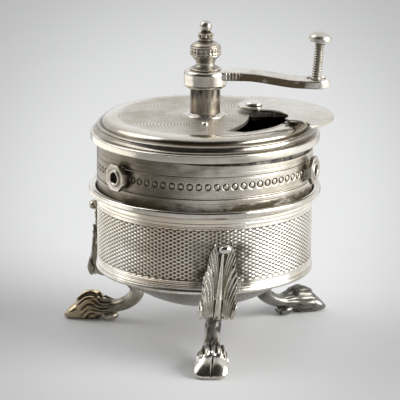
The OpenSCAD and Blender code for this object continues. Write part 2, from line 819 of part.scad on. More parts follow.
module spindle_bush() {
    color(brass)
    translate([0, 0, bridge_z - bush_drop])
    difference() {
        union() {
            cylinder(h = bush_drop + bridge_t + joint_fit + eps, r = bush_r);
            translate([0, 0, bush_drop + bridge_t + joint_fit])
                cylinder(h = bush_flange_h, r = bush_r + bush_flange_w);
        }
        translate([0, 0, -eps])
            cylinder(h = bush_drop + bridge_t + 2 * bush_flange_h, r = spindle_r + running_fit);
    }
}

// Crank

module crank_hub() {
    hole_w = square_w + 2 * running_fit;
    edge = 0.5;
    color(silver)
    rotate([0, 0, crank_turn])
    difference() {
        translate([0, 0, hub_z])
            rotate_extrude()
            polygon(concat(
                [[0, 0]],
                ellipse_arc([hub_r - edge, edge], edge, edge, -90, 0, 4),
                ellipse_arc([hub_r - edge, hub_h - edge], edge, edge, 0, 90, 4),
                [[0, hub_h]]));
        translate([-hole_w / 2, -hole_w / 2, hub_z - eps]) cube([hole_w, hole_w, hub_h + 2 * eps]);
        arm_tenon(joint_fit);
    }
}

// The tongue by which the arm is held in the hub.
module arm_tenon(play) {
    mid_z = arm_top_z - arm_t / 2 - arm_step;
    translate([hub_r - tenon_in - play, -tenon_w / 2 - play, mid_z - tenon_t / 2 - play])
        cube([2 * tenon_in, tenon_w + 2 * play, tenon_t + 2 * play]);
}

// Moves to the point where the leaning handle post meets the arm.
module at_post() {
    translate([post_at, 0, post_foot_z]) rotate([0, post_lean, 0]) children();
}

module arm_side() {
    steps = 12;
    x_in = hub_r - tenon_in;
    x_out = post_at + arm_end_r;
    function top(x) = arm_top_z - arm_step - (arm_drop - arm_step) * blend(x, arm_bend[0], arm_bend[1]);
    bend = [for (i = [0 : steps]) arm_bend[0] + (arm_bend[1] - arm_bend[0]) * i / steps];
    xs = concat([x_in], bend, [x_out]);
    polygon(concat(
        [for (x = xs) [x, top(x)]],
        [for (i = [len(xs) - 1 : -1 : 0]) [xs[i], top(xs[i]) - arm_t]]));
}

module crank_arm() {
    color(silver)
    rotate([0, 0, crank_turn])
    difference() {
        union() {
            difference() {
                intersection() {
                    translate([0, 0, hub_z - hub_h])
                    linear_extrude(3 * hub_h)
                    union() {
                        translate([0, -arm_w / 2]) square([post_at, arm_w]);
                        translate([post_at, 0]) circle(r = arm_end_r);
                    }
                    translate([0, arm_w, 0]) rotate([90, 0, 0]) linear_extrude(2 * arm_w) arm_side();
                }
                translate([0, 0, hub_z - hub_h]) cylinder(h = 3 * hub_h, r = hub_r + joint_fit);
            }
            arm_tenon(0);
        }
        at_post() {
            translate([0, 0, -2 * arm_t]) cylinder(h = 4 * arm_t, r = post_tenon_r + running_fit);
            cylinder(h = arm_t, r = recess_r);
            translate([0, 0, -2 * arm_t + recess_depth + counterbore_depth])
                cylinder(h = arm_t, r = washer_r + 2 * running_fit);
        }
    }
}

// The post stands on the floor of the recess, and its tenon is riveted over the washer below.
module handle_post() {
    tenon_h = arm_t - recess_depth - counterbore_depth + washer_t + 2 * running_fit;
    color(dark_silver)
    rotate([0, 0, crank_turn])
    at_post() {
        translate([0, 0, running_fit]) cylinder(h = recess_depth + post_h, r = post_r);
        translate([0, 0, -tenon_h]) cylinder(h = tenon_h + 2 * running_fit, r = post_tenon_r);
        translate([0, 0, recess_depth + post_h]) dome(post_head_r, post_head_h);
    }
}

module post_washer() {
    top = -(arm_t - recess_depth - counterbore_depth) - 2 * running_fit;
    color(steel)
    rotate([0, 0, crank_turn])
    at_post()
    translate([0, 0, top - washer_t])
    difference() {
        cylinder(h = washer_t, r = washer_r);
        translate([0, 0, -eps]) cylinder(h = washer_t + 2 * eps, r = post_tenon_r + joint_fit);
    }
}

// The finial is the adjusting nut: it draws the spindle up, and the cone burr with it.
module finial_nut() {
    neck_r = 0.6 * finial_r;
    upper_neck_r = 0.43 * finial_r;
    cap_r = 0.535 * finial_r;
    ball_z = finial_h - finial_ball_r;
    color(silver)
    translate([0, 0, finial_z])
    difference() {
        rotate_extrude()
        polygon(concat(
            [[0, 0], [finial_r, 0], [finial_r, 0.02 * finial_h]],
            ellipse_arc([finial_r, 0.13 * finial_h], neck_r - finial_r, -0.1 * finial_h, 75, 0, 5),
            ellipse_arc([finial_r, 0.15 * finial_h], neck_r - finial_r, 0.13 * finial_h, 5, 80, 5),
            [
                [finial_r, 0.295 * finial_h], [finial_r, 0.47 * finial_h],
                [0.78 * finial_r, 0.545 * finial_h],
                [upper_neck_r, 0.575 * finial_h], [upper_neck_r, 0.635 * finial_h],
                [cap_r, 0.68 * finial_h], [cap_r, 0.72 * finial_h], [0.29 * finial_r, 0.76 * finial_h]
            ],
            ellipse_arc([0, ball_z], finial_ball_r, finial_ball_r, -45, 90, 8)));
        translate([0, 0, -eps])
            cylinder(h = spindle_top_z - finial_z + thread_end, r = top_thread_r + running_fit);
    }
}

receiver_drum();
receiver_rim();
base_ring();
receiver_bowl();
leg_front();
leg_right();
leg_left();
hopper_drum();
hopper_spigot();
lid();
boss_right();
boss_left();
boss_back();
frame_screws();
neck_sleeve();
sleeve_collar();
sleeve_nut();
pivot_screw();
pivot_nut();
stop_stud();
fill_cover();
mill_frame();
ring_burr();
bearing_bridge();
bridge_screws();
spindle_bush();
spindle();
cone_burr();
burr_nut();
crank_hub();
crank_arm();
handle_post();
post_washer();
finial_nut();
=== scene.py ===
# %% [markdown]
# # A silver table mill
# The real mill is an antique of worn silver: two rolled drums, a spun lid, three cast legs and a crank.
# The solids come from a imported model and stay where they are. This lesson dresses them: worn metal that is
# brown in its hollows and bright on its ridges, engine turning, stamped rings, acanthus leaves and a thread.

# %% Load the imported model
import json
import bpy
import numpy as np
from mathutils import Matrix, Quaternion, Vector

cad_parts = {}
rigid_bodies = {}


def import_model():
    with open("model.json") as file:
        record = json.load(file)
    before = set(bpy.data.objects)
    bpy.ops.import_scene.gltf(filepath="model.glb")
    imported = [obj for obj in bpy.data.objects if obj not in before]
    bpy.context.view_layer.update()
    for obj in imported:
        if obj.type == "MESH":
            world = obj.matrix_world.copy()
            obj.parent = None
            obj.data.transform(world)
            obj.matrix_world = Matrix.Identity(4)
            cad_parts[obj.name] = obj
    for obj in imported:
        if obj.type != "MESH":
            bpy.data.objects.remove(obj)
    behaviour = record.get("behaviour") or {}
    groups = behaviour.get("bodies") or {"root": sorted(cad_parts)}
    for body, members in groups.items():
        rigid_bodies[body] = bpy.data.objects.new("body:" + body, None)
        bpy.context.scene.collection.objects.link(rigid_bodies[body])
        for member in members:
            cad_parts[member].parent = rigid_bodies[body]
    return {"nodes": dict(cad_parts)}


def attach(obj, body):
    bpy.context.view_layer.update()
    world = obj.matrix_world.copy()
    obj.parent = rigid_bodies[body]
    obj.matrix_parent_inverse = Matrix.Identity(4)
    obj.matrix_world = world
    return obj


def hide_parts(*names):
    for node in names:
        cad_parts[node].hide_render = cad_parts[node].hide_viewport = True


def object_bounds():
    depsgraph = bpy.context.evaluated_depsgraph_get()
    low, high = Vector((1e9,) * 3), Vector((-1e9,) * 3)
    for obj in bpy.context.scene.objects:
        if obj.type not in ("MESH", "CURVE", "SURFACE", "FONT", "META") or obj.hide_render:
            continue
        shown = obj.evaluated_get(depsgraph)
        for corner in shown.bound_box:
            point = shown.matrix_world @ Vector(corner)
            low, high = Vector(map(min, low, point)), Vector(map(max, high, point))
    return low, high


scene = bpy.context.scene
for leftover in list(bpy.data.objects):
    bpy.data.objects.remove(leftover)
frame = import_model()
cad_low, cad_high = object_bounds()
cad_size = [round(1000 * (b - a), 1) for a, b in zip(cad_low, cad_high)]
print("solids:", len(frame["nodes"]), "box in mm:", cad_size)

# %% [markdown]
# ## Camera
# The photograph was taken with a long lens, a little from above, and the camera wasn't quite level.

# %% Camera
MM = 0.001
CAMERA_AT = Vector((-0.0917, -0.6965, 0.2243))
CAMERA_AIM = Vector((-0.00126, 0.00017, 0.0387))
CAMERA_ROLL = np.radians(0.38)
LENS_MM, SENSOR_MM = 234.3, 36

lens = bpy.data.cameras.new("photo_camera")
lens.lens = LENS_MM
lens.sensor_width = SENSOR_MM
lens.clip_start, lens.clip_end = 0.05, 20
camera = bpy.data.objects.new("photo_camera", lens)
camera.rotation_mode = "QUATERNION"
camera.location = CAMERA_AT
level = (CAMERA_AIM - CAMERA_AT).to_track_quat("-Z", "Y")
camera.rotation_quaternion = level @ Quaternion((0, 0, 1), CAMERA_ROLL)
scene.collection.objects.link(camera)
scene.camera = camera
scene.view_settings.view_transform = "Standard"
print("camera", round((CAMERA_AIM - CAMERA_AT).length, 3), "m from the mill")

# %% [markdown]
# ## Shader arithmetic
# A finish is a sum of masks: clouds of tarnish, plus dirt in the hollows, less the wear on the ridges. One small
# class lets Python write such sums, and each operator adds a Math node. One method makes every other node.

# %% A value in a shader
class Value:
    """A socket of a shader tree. Arithmetic on values adds Math nodes to the tree."""

    def __init__(self, tree, socket=None):
        self.tree = tree
        self.socket = socket

    def node(self, kind, settings, inputs, output=0):
        """Adds a node. Its settings are set first, then its sockets are set or linked."""
        made = self.tree.nodes.new(kind)
        for key, setting in settings.items():
            setattr(made, key, setting)
        for key, value in inputs.items():
            if isinstance(value, Value):
                self.tree.links.new(value.socket, made.inputs[key])
            else:
                made.inputs[key].default_value = value
        return Value(self.tree, made.outputs[output])

    def math(self, operation, *terms):
        return self.node("ShaderNodeMath", {"operation": operation}, dict(enumerate(terms)))

    def __add__(self, other):
        return self.math("ADD", self, other)

    def __sub__(self, other):
        return self.math("SUBTRACT", self, other)

    def __rsub__(self, other):
        return self.math("SUBTRACT", other, self)

    def __mul__(self, other):
        return self.math("MULTIPLY", self, other)

    def __truediv__(self, other):
        return self.math("DIVIDE", self, other)

    def __rtruediv__(self, other):
        return self.math("DIVIDE", other, self)

    def __pow__(self, other):
        return self.math("POWER", self, other)

    __radd__ = __add__
    __rmul__ = __mul__


def limit(value):
    """The value held between 0 and 1."""
    return value.node("ShaderNodeMath", {"operation": "ADD", "use_clamp": True}, {0: value, 1: 0.0})


def rise(value, low, high):
    """0 below low and 1 above high, with a smooth S between them."""
    settings = {"interpolation_type": "SMOOTHSTEP"}
    return value.node("ShaderNodeMapRange", settings, {"Value": value, "From Min": low, "From Max": high})


def tint(share, first, second):
    """The first colour where share is 0, and the second where it is 1."""
    return share.node("ShaderNodeMix", {"data_type": "RGBA"}, {0: share, 6: first, 7: second}, 2)


def clouds(place, scale, detail=3.0, roughness=0.55):
    """Noise from 0 to 1, with about one cloud to 1 / scale metres."""
    inputs = {"Vector": place, "Scale": scale, "Detail": detail, "Roughness": roughness}
    return place.node("ShaderNodeTexNoise", {}, inputs, "Fac")


def stretched(place, scale):
    """The place with each axis scaled, so that noise on it is drawn out into streaks."""
    return place.node("ShaderNodeMapping", {}, {"Vector": place, "Scale": scale})


def axis_of(place, axis):
    return place.node("ShaderNodeSeparateXYZ", {}, {0: place}, axis)


def reach_of(place):
    """The distance from the z axis: the root of x^2 + y^2."""
    x, y = axis_of(place, "X"), axis_of(place, "Y")
    return (x * x + y * y) ** 0.5


def new_finish(name):
    """A material, the place on the object that its expressions start from, and its shader."""
    material = bpy.data.materials.new(name)
    material.use_nodes = True
    place = Value(material.node_tree).node("ShaderNodeTexCoord", {}, {}, "Object")
    return material, place, material.node_tree.nodes["Principled BSDF"]


def layer_of(place, name):
    """The value of an attribute of the mesh."""
    return place.node("ShaderNodeAttribute", {"attribute_name": name}, {}, "Fac")


def feed(shader, socket, value):
    shader.id_data.links.new(value.socket, shader.inputs[socket])


def feed_bump(shader, height, strength):
    """Feeds a height in metres to the shader's normal."""
    inputs = {"Height": height, "Distance": 1.0, "Strength": strength}
    feed(shader, "Normal", height.node("ShaderNodeBump", {}, inputs))


print("masks:", ", ".join(mask.__name__ for mask in (limit, rise, tint, clouds, stretched, reach_of)))

# %% [markdown]
# ## Floor, sky and lamps
# The floor is matt and pale, greyer towards the edges of the camera's view with painted shade, and keeps the soft
# shadow. It runs on far behind the mill, so it is the whole background. The sky is white to the camera and in
# reflections, and dimmer as a lamp, so that it doesn't put more light on the mill. Two broad soft lamps do the rest.

# %% Floor
FLOOR_HALF = 6.0
FLOOR_MIDDLE = (0.84, 0.84, 0.84, 1)
# Painted shade: the grey that the floor turns towards the edges of the camera's view
FLOOR_VIGNETTE_EDGE = (0.55, 0.55, 0.555, 1)
# The palest place as the camera sees it: x over depth, then 1 over depth, each with its spread
SIDE_SLOPE, HALF_VIEW = 0.1298, 0.0768
NEARNESS, NEARNESS_SPREAD = 1.18, 0.37
FLOOR_VIGNETTE_FADE = (0.6, 1.55)


def points_of(x, y, z):
    """Points from their x, y and z, which are spread to one grid."""
    return np.stack(np.broadcast_arrays(x, y, z), -1)


def grid_quads(rows, columns):
    """The quads of an open grid of points."""
    k = np.arange(rows * columns).reshape(rows, columns)
    return np.stack([k[:-1, :-1], k[:-1, 1:], k[1:, 1:], k[1:, :-1]], -1).reshape(-1, 4)


def stage_card(name, grid, material):
    """A grid of points in metres as a mesh object in the scene, with its material."""
    mesh = bpy.data.meshes.new(name)
    mesh.from_pydata(grid.reshape(-1, 3).tolist(), [], grid_quads(*grid.shape[:2]).tolist())
    mesh.materials.append(material)
    made = bpy.data.objects.new(name, mesh)
    scene.collection.objects.link(made)
    return made


floor_finish, place, shader = new_finish("pale_floor")
depth = axis_of(place, "Y") - CAMERA_AT.y
across = ((axis_of(place, "X") - CAMERA_AT.x) / depth - SIDE_SLOPE) / HALF_VIEW
behind = (1.0 / depth - NEARNESS) / NEARNESS_SPREAD
away = (across * across + behind * behind) ** 0.5
# The share of that painted shade, a painted vignette round the palest place
share = rise(away + (clouds(place, 3.0) - 0.5) * 0.1, *FLOOR_VIGNETTE_FADE)
feed(shader, "Base Color", tint(share, FLOOR_MIDDLE, FLOOR_VIGNETTE_EDGE))
shader.inputs["Roughness"].default_value = 0.6
shader.inputs["Specular IOR Level"].default_value = 0.25
side = np.array([-FLOOR_HALF, FLOOR_HALF])
stage_card("floor", points_of(side[None, :], side[:, None], 0.0), floor_finish)
print("floor", 2 * FLOOR_HALF, "m wide")

# %% Sky
SKY_SEEN = 1.0
SKY_LAMP = 0.45

world = bpy.data.worlds.new("studio_sky")
world.use_nodes = True
scene.world = world
light_path = world.node_tree.nodes.new("ShaderNodeLightPath")
seen = limit(Value(world.node_tree, light_path.outputs["Is Camera Ray"])
             + Value(world.node_tree, light_path.outputs["Is Glossy Ray"])
             + Value(world.node_tree, light_path.outputs["Is Transmission Ray"]))
sky = world.node_tree.nodes["Background"]
sky.inputs["Color"].default_value = (0.98, 0.99, 1.0, 1)
world.node_tree.links.new((SKY_LAMP + seen * (SKY_SEEN - SKY_LAMP)).socket, sky.inputs["Strength"])
print("sky", SKY_SEEN, "seen,", SKY_LAMP, "as a lamp")

# %% Lamps
LAMPS = [
    # name, place, width and watts
    ("left_window", (-0.75, 0.30, 0.85), 0.90, 3.5),
    ("right_window", (0.82, -0.40, 0.38), 0.95, 12.5),
]
LAMP_AIM = Vector((0, 0, 0.04))

for name, at, width, watts in LAMPS:
    lamp = bpy.data.lights.new(name, "AREA")
    lamp.shape = "DISK"
    lamp.size = width
    lamp.energy = watts
    holder = bpy.data.objects.new(name, lamp)
    holder.location = at
    holder.rotation_mode = "QUATERNION"
    holder.rotation_quaternion = (LAMP_AIM - Vector(at)).to_track_quat("-Z", "Y")
    scene.collection.objects.link(holder)
print(len(LAMPS), "lamps")

# %% [markdown]
# Polished metal shows what stands round it. So cards that only reflections see stand round the mill, as a
# photographer would use them: dark ones in front, and pale ones on the floor at its sides.

# %% Dark and pale cards
DARK_CARDS = [
    # name, turns from the camera's side, distances from the axis, tilts above the floor, cover
    ("room_card", (-90, 74), (1.40, 1.40), (2, 80), 1.0),
    ("table_card", (-74, -6), (0.07, 1.35), (0, 0), 0.14),
    ("right_card", (22, 46), (0.14, 0.60), (0, 0), 0.4),
]
PALE_CARDS = [
    ("left_pale_card", (-150, -66), (0.06, 0.80), (0, 0), 1.0),
    ("right_pale_card", (56, 150), (0.06, 0.80), (0, 0), 0.45),
]
CARD_LIFT = 0.002
camera_turn = np.degrees(np.arctan2(CAMERA_AT.y, CAMERA_AT.x))


def soft_card(name, turns, distances, tilts, cover, material):
    """A card bent round the mill, part of a dome or flat on the floor. Its cover is 1 - (2s - 1)^8 along each side,
    so that it fades to nothing at its edges."""
    s = np.linspace(0, 1, 33)[:, None]
    t = np.linspace(0, 1, 17)[None, :]
    a = np.radians(camera_turn + turns[0] + (turns[1] - turns[0]) * s)
    r, tilt = (low + (high - low) * t for low, high in (distances, np.radians(tilts)))
    across, up = r * np.cos(tilt), r * np.sin(tilt) + CARD_LIFT
    card = stage_card(name, points_of(across * np.cos(a), across * np.sin(a), up), material)
    fade = cover * (1 - (2 * s - 1) ** 8) * (1 - (2 * t - 1) ** 8)
    layer = card.data.attributes.new("cover", "FLOAT", "POINT")
    layer.data.foreach_set("value", fade.astype(np.float32).ravel())
    card.visible_camera = False
    card.visible_shadow = False
    card.visible_diffuse = False


def card_finish(name, low, high, glow):
    """A matt card that fades with its cover. A pale card glows a little, as one that stands in a window's light."""
    material, place, shader = new_finish(name)
    colour = tint(clouds(place, 9.0), low, high)
    feed(shader, "Base Color", colour)
    feed(shader, "Emission Color", colour)
    feed(shader, "Alpha", layer_of(place, "cover"))
    shader.inputs["Emission Strength"].default_value = glow
    shader.inputs["Roughness"].default_value = 0.9
    return material


dark_card = card_finish("dark_card", (0.016, 0.012, 0.008, 1), (0.050, 0.038, 0.026, 1), 0.0)
pale_card = card_finish("pale_card", (0.70, 0.69, 0.66, 1), (0.80, 0.79, 0.77, 1), 1.25)
for cards, material in ((DARK_CARDS, dark_card), (PALE_CARDS, pale_card)):
    for card in cards:
        soft_card(*card, material)
print(len(DARK_CARDS), "dark cards and", len(PALE_CARDS), "pale ones")

# %% [markdown]
# ## Worn silver
# Silver is bright where hands and cloths rub it, and turns yellow, brown and black where they don't reach. Every
# piece carries an attribute called hollow, worked out from its own shape: above 0 in grooves, below 0 on ridges.
# The finish adds clouds of tarnish to it. Stained metal is darker, rougher and a little less metallic.

# %% One silver finish
CLEAN_SILVER = (0.74, 0.715, 0.665, 1)
WARM_SILVER = (0.57, 0.515, 0.43, 1)
TARNISH = (0.11, 0.080, 0.050, 1)
# Near black, for dirt in joints and for painted shade
GRIME_AND_SHADE = (0.028, 0.022, 0.015, 1)
# Clouds to a metre, and depths in metres
BROAD, FINE, GRAIN = 70.0, 420.0, 2600.0
ENGRAVING_DEPTH, FINE_DEPTH, GRAIN_BUMP = 0.00009, 0.00005, 0.000012
RIDGE_WEAR = 0.45


def silver(name, stain, rough, pits, clean=CLEAN_SILVER, warm=WARM_SILVER, dirt=TARNISH, grime_and_shade=None, black=GRIME_AND_SHADE,
           streaks=(1, 1, 1), pattern=None, polish=None, patina=None, dull=0.6):
    """Worn silver. stain is the share of tarnish on open surfaces and pits that in hollows. grime_and_shade gives
    dark dirt and painted shade by place, in the colour black, streaks draws the tarnish out, pattern gives a fine
    engraving by place, from -1 to 1, polish gives the places that are smoother, and patina is a share by place and
    its colour.
    dull is how far the dirt and painted shade hide metal."""
    material, place, shader = new_finish(name)
    hollow = layer_of(place, "hollow")
    broad = clouds(stretched(place, streaks), BROAD, 4.0, 0.6)
    fine = clouds(stretched(place, streaks), FINE, 4.0, 0.6)
    grain = clouds(place, GRAIN, 2.0)
    stained = ((rise(broad, 0.35, 0.75) + (fine - 0.5)) * stain + limit(hollow) * pits
               - limit(hollow * -1.0) * RIDGE_WEAR)
    height = (grain - 0.5) * GRAIN_BUMP + (fine - 0.5) * FINE_DEPTH
    if pattern:
        engraved = pattern(place)
        stained = stained + limit(engraved * -1.0) * 0.7
        height = height + engraved * ENGRAVING_DEPTH
    stained = limit(stained)
    colour = tint(rise(broad + (fine - 0.5) * 0.4, 0.3, 0.75), clean, warm)
    if patina:
        colour = tint(limit(patina[0](place) * (0.5 + broad)), colour, patina[1])
    colour = tint(stained, colour, dirt)
    rough_map = rough + stained * 0.22 + (fine - 0.5) * 0.16
    # Dark dirt and painted shade by place, which also make the metal less metallic
    if grime_and_shade:
        caked_and_shade = limit(grime_and_shade(place) * (0.4 + rise(fine + broad, 0.8, 1.2) * 0.9))
        colour = tint(caked_and_shade, colour, black)
        rough_map = rough_map + caked_and_shade * 0.25
        feed(shader, "Metallic", 1.0 - caked_and_shade * dull)
    else:
        feed(shader, "Metallic", 1.0 - stained * 0.35)
    if polish:
        rough_map = rough_map - polish(place) * 0.2
    feed(shader, "Base Color", colour)
    feed(shader, "Roughness", limit(rough_map))
    feed_bump(shader, height, 0.8)
    return material


print("tarnish in clouds of", [round(1000 / scale, 1) for scale in (BROAD, FINE, GRAIN)], "mm")

# %% [markdown]
# On top of that comes what the photograph shows in single places, tarnish, dirt and painted shade: a share by place,
# within windows of height, of distance from the axis and of turn. Heights and distances are in millimetres, turns in
# degrees.

# %% Where tarnish lies
def window(value, up=None, down=None):
    """Rises from 0 to 1 between the two limits up, and falls back between the limits down, all in mm."""
    if not down:
        return rise(value, up[0] * MM, up[1] * MM)
    fall = 1.0 - rise(value, down[0] * MM, down[1] * MM)
    return rise(value, up[0] * MM, up[1] * MM) * fall if up else fall


def facing_share(place, turn, none, full):
    """1 on the side of the mill at one turn about the axis, as far as full degrees from it, and 0 from none on."""
    x, y = axis_of(place, "X"), axis_of(place, "Y")
    facing = (x * np.cos(np.radians(turn)) + y * np.sin(np.radians(turn))) / reach_of(place)
    return rise(facing, *np.cos(np.radians((none, full))))


def zone(share, height=None, reach=None, turn=None):
    """A share by place: within a window of height, one of distance from the axis, and one of turn."""
    def share_at(place):
        found = share
        if height:
            found = found * window(axis_of(place, "Z"), *height)
        if reach:
            found = found * window(reach_of(place), *reach)
        if turn:
            found = found * facing_share(place, *turn)
        return found
    return share_at


def both(first, second):
    """The sum of two zones."""
    return lambda place: first(place) + second(place)


# Brown on the receiver drum left of the front leg, and dark dirt and painted shade close around the leaf
BROWN_SIDE = (-109, 34, 6)
drum_patina = zone(0.6, turn=BROWN_SIDE)
leaf_shade = zone(0.8, height=(None, (33.0, 37.5)), turn=(-88, 20, 10))
# Brown on the lid's moulding, grey-brown on the left of the hopper drum, yellow on a hoof and its hair
lid_patina = zone(0.62, reach=((26.8, 28.6), (30.8, 31.4)))
hopper_patina = zone(1.1, turn=(-158, 62, 24))
hoof_gilding = zone(1.0, height=(None, (8.5, 12.0)), reach=((28.5, 33.5),))
# Painted shadow under the hub, and a little painted shade at the neck's foot
neck_shade = both(zone(1.1, height=((67.0, 69.8),)), zone(0.5, height=(None, (63.8, 65.2))))
# Dark dirt where the hopper drum dips into the rim, and under the lid in front a brown patch: tarnish with a
# painted shadow of the lid's rim
joint_dirt_and_lid_shadow = both(zone(1.45, height=(None, (43.8, 46.2))),
                   zone(0.45, height=((50.5, 56.0),), turn=(-108, 50, 14)))
# Painted shade, near black, on the lid's part that dips into the hopper drum and shows in the gap; dirt on the rim's
# seat
gap_shade = zone(1.0, height=(None, (57.2, 57.6)), reach=(None, (29.1, 29.4)))
rim_grime = zone(0.9, reach=(None, (30.2, 30.6)))
# Dark on the shanks, between leaf and hair under the bowl: tarnish with painted shade and a painted dark reflection
shank_tarnish_and_shade = zone(1.0, height=((6.2, 8.5), (12.8, 14.0)))
# The lid's smooth moulding, outside its engraved top
moulded_part = zone(1.0, reach=((23.6, 24.6),))


def arm_sides(place):
    """Brown on the sides of the arm, where its surface doesn't face up or down, away from hub and eye."""
    upright = axis_of(place.node("ShaderNodeNewGeometry", {}, {}, "Normal"), "Z")
    facing = upright.math("ABSOLUTE", upright)
    return (1.0 - rise(facing, 0.3, 0.7)) * zone(1.7, reach=((5.0, 12.0), (25.5, 31.5)))(place)


print("the brown of the receiver drum ends", BROWN_SIDE[1], "degrees from its middle")

# %% [markdown]
# The lid's engine turning is fine enough for a bump. It is a rosette, and its waves are worked out in the shader.

# %% Silver finishes
ROSETTE_CIRCLES, ROSETTE_R = 80, 0.0246


def rosette(place):
    """Engine turning on the lid: 80 circles through the axis, turned in even steps. A point at distance r lies on
    one of them where its angle plus or minus arccos(r / widest) is a whole step, so the waves are cosines of these
    two sums."""
    away = reach_of(place)
    turn = away.math("ARCTAN2", axis_of(place, "Y"), axis_of(place, "X"))
    swing = away.math("ARCCOSINE", limit(away / ROSETTE_R))
    waves = [away.math("COSINE", angle * ROSETTE_CIRCLES) for angle in (turn + swing, turn - swing)]
    return (waves[0] * 0.65 + waves[1] * 0.35) * window(away, (6.2, 6.6), (23.4, 23.8))


# Some finishes lay painted shade on by place: round the front leaf, under the lid in front, in the gap under the lid,
# on the shanks and under the hub
DEEP_DIRT = (0.040, 0.032, 0.022, 1)
engraved_silver = silver("engraved_silver", stain=0.10, rough=0.2, pits=0.9, clean=(0.91, 0.885, 0.82, 1),
                         warm=(0.76, 0.70, 0.59, 1), dirt=(0.065, 0.051, 0.035, 1), grime_and_shade=leaf_shade,
                         black=(0.06, 0.05, 0.036, 1), patina=(drum_patina, (0.74, 0.61, 0.47, 1)))
drum_silver = silver("drum_silver", stain=0.38, rough=0.26, pits=1.0, clean=(0.71, 0.675, 0.61, 1),
                     warm=(0.56, 0.495, 0.40, 1), dirt=(0.05, 0.036, 0.024, 1), grime_and_shade=joint_dirt_and_lid_shadow,
                     black=(0.060, 0.044, 0.020, 1), streaks=(0.6, 0.6, 1.6),
                     patina=(hopper_patina, (0.20, 0.175, 0.135, 1)))
rim_silver = silver("rim_silver", stain=0.12, rough=0.16, pits=0.8, grime_and_shade=rim_grime)
# Near black here is the painted shade in the gap under the lid
lid_silver = silver("lid_silver", stain=0.2, rough=0.36, pits=0.9, clean=(0.68, 0.65, 0.59, 1), grime_and_shade=gap_shade,
                    black=(0.004, 0.003, 0.002, 1), pattern=rosette, polish=moulded_part, dull=1.0,
                    patina=(lid_patina, (0.235, 0.205, 0.16, 1)))
plain_silver = silver("plain_silver", stain=0.22, rough=0.18, pits=0.85, dirt=(0.08, 0.06, 0.04, 1))
cast_silver = silver("cast_silver", stain=0.32, rough=0.17, pits=1.0, clean=(0.68, 0.66, 0.61, 1), dirt=DEEP_DIRT,
                     grime_and_shade=shank_tarnish_and_shade, black=(0.020, 0.017, 0.014, 1))
old_cast_silver = silver("old_cast_silver", stain=0.6, rough=0.2, pits=1.0, clean=(0.25, 0.245, 0.22, 1),
                         warm=(0.15, 0.14, 0.118, 1), dirt=DEEP_DIRT, grime_and_shade=shank_tarnish_and_shade,
                         black=(0.05, 0.042, 0.035, 1))
bowl_silver = silver("bowl_silver", stain=0.35, rough=0.24, pits=0.85, clean=(0.31, 0.285, 0.25, 1),
                     warm=(0.22, 0.19, 0.15, 1), dirt=(0.08, 0.06, 0.04, 1))
gilt_silver = silver("gilt_silver", stain=0.75, rough=0.17, pits=1.0, clean=(0.58, 0.55, 0.48, 1),
                     warm=(0.40, 0.35, 0.26, 1), dirt=(0.026, 0.017, 0.009, 1),
                     patina=(hoof_gilding, (0.40, 0.315, 0.195, 1)))
sleeve_silver = silver("sleeve_silver", stain=0.7, rough=0.26, pits=0.9, clean=(0.50, 0.45, 0.37, 1),
                       warm=(0.28, 0.20, 0.14, 1), dirt=(0.09, 0.045, 0.026, 1), grime_and_shade=neck_shade,
                       streaks=(1.8, 1.8, 0.3))
arm_silver = silver("arm_silver", stain=0.25, rough=0.2, pits=0.9, grime_and_shade=arm_sides,
                    black=(0.105, 0.078, 0.045, 1), dull=0.45)
post_silver = silver("post_silver", stain=0.2, rough=0.31, pits=1.0, clean=(0.58, 0.555, 0.50, 1),
                     warm=(0.44, 0.40, 0.33, 1), dirt=(0.010, 0.008, 0.006, 1))
finial_silver = silver("finial_silver", stain=0.45, rough=0.27, pits=1.0, clean=(0.52, 0.50, 0.45, 1),
                       warm=(0.40, 0.335, 0.255, 1), dirt=DEEP_DIRT)
cover_silver = silver("cover_silver", stain=0.14, rough=0.2, pits=0.7, clean=(0.62, 0.60, 0.54, 1))
print("silver finishes:", sum("silver" in material.name for material in bpy.data.materials))

# %% [markdown]
# ## Steel and brass
# What is inside was never polished. The mill is dark steel under a film of brown dust, and the nuts and the bush
# are aged brass.

# %% Steel and brass
def dull_metal(name, bare, dusty, dust, rough):
    """Dull metal with streaks of tooling and a film of dust that lies in clouds."""
    material, place, shader = new_finish(name)
    film = rise(clouds(place, 160.0, 5.0, 0.65), 0.5 - dust / 2, 0.9 - dust / 2)
    streak = clouds(stretched(place, (1, 1, 12)), 500.0)
    feed(shader, "Base Color", tint(film, bare, dusty))
    feed(shader, "Metallic", 1.0 - film * 0.7)
    feed(shader, "Roughness", rough + film * 0.3 + (streak - 0.5) * 0.2)
    feed_bump(shader, streak * 0.00004, 0.7)
    return material


mill_steel = dull_metal("mill_steel", (0.20, 0.19, 0.18, 1), (0.030, 0.022, 0.016, 1), 0.55, 0.38)
screw_steel = dull_metal("screw_steel", (0.16, 0.15, 0.14, 1), (0.012, 0.010, 0.008, 1), 0.7, 0.4)
aged_brass = dull_metal("aged_brass", (0.45, 0.33, 0.15, 1), (0.05, 0.035, 0.018, 1), 0.75, 0.3)
KEPT_NODES = {
    "mill_frame": mill_steel, "ring_burr": mill_steel, "bearing_bridge": mill_steel, "bridge_screws": mill_steel,
    "spindle": mill_steel, "cone_burr": mill_steel, "burr_nut": mill_steel, "post_washer": mill_steel,
    "frame_screws": screw_steel, "hopper_spigot": sleeve_silver,
    "sleeve_nut": aged_brass, "pivot_nut": aged_brass, "spindle_bush": aged_brass,
}
for node, material in KEPT_NODES.items():
    frame["nodes"][node].data.materials.clear()
    frame["nodes"][node].data.materials.append(material)
print("solids kept with a new finish:", len(KEPT_NODES))

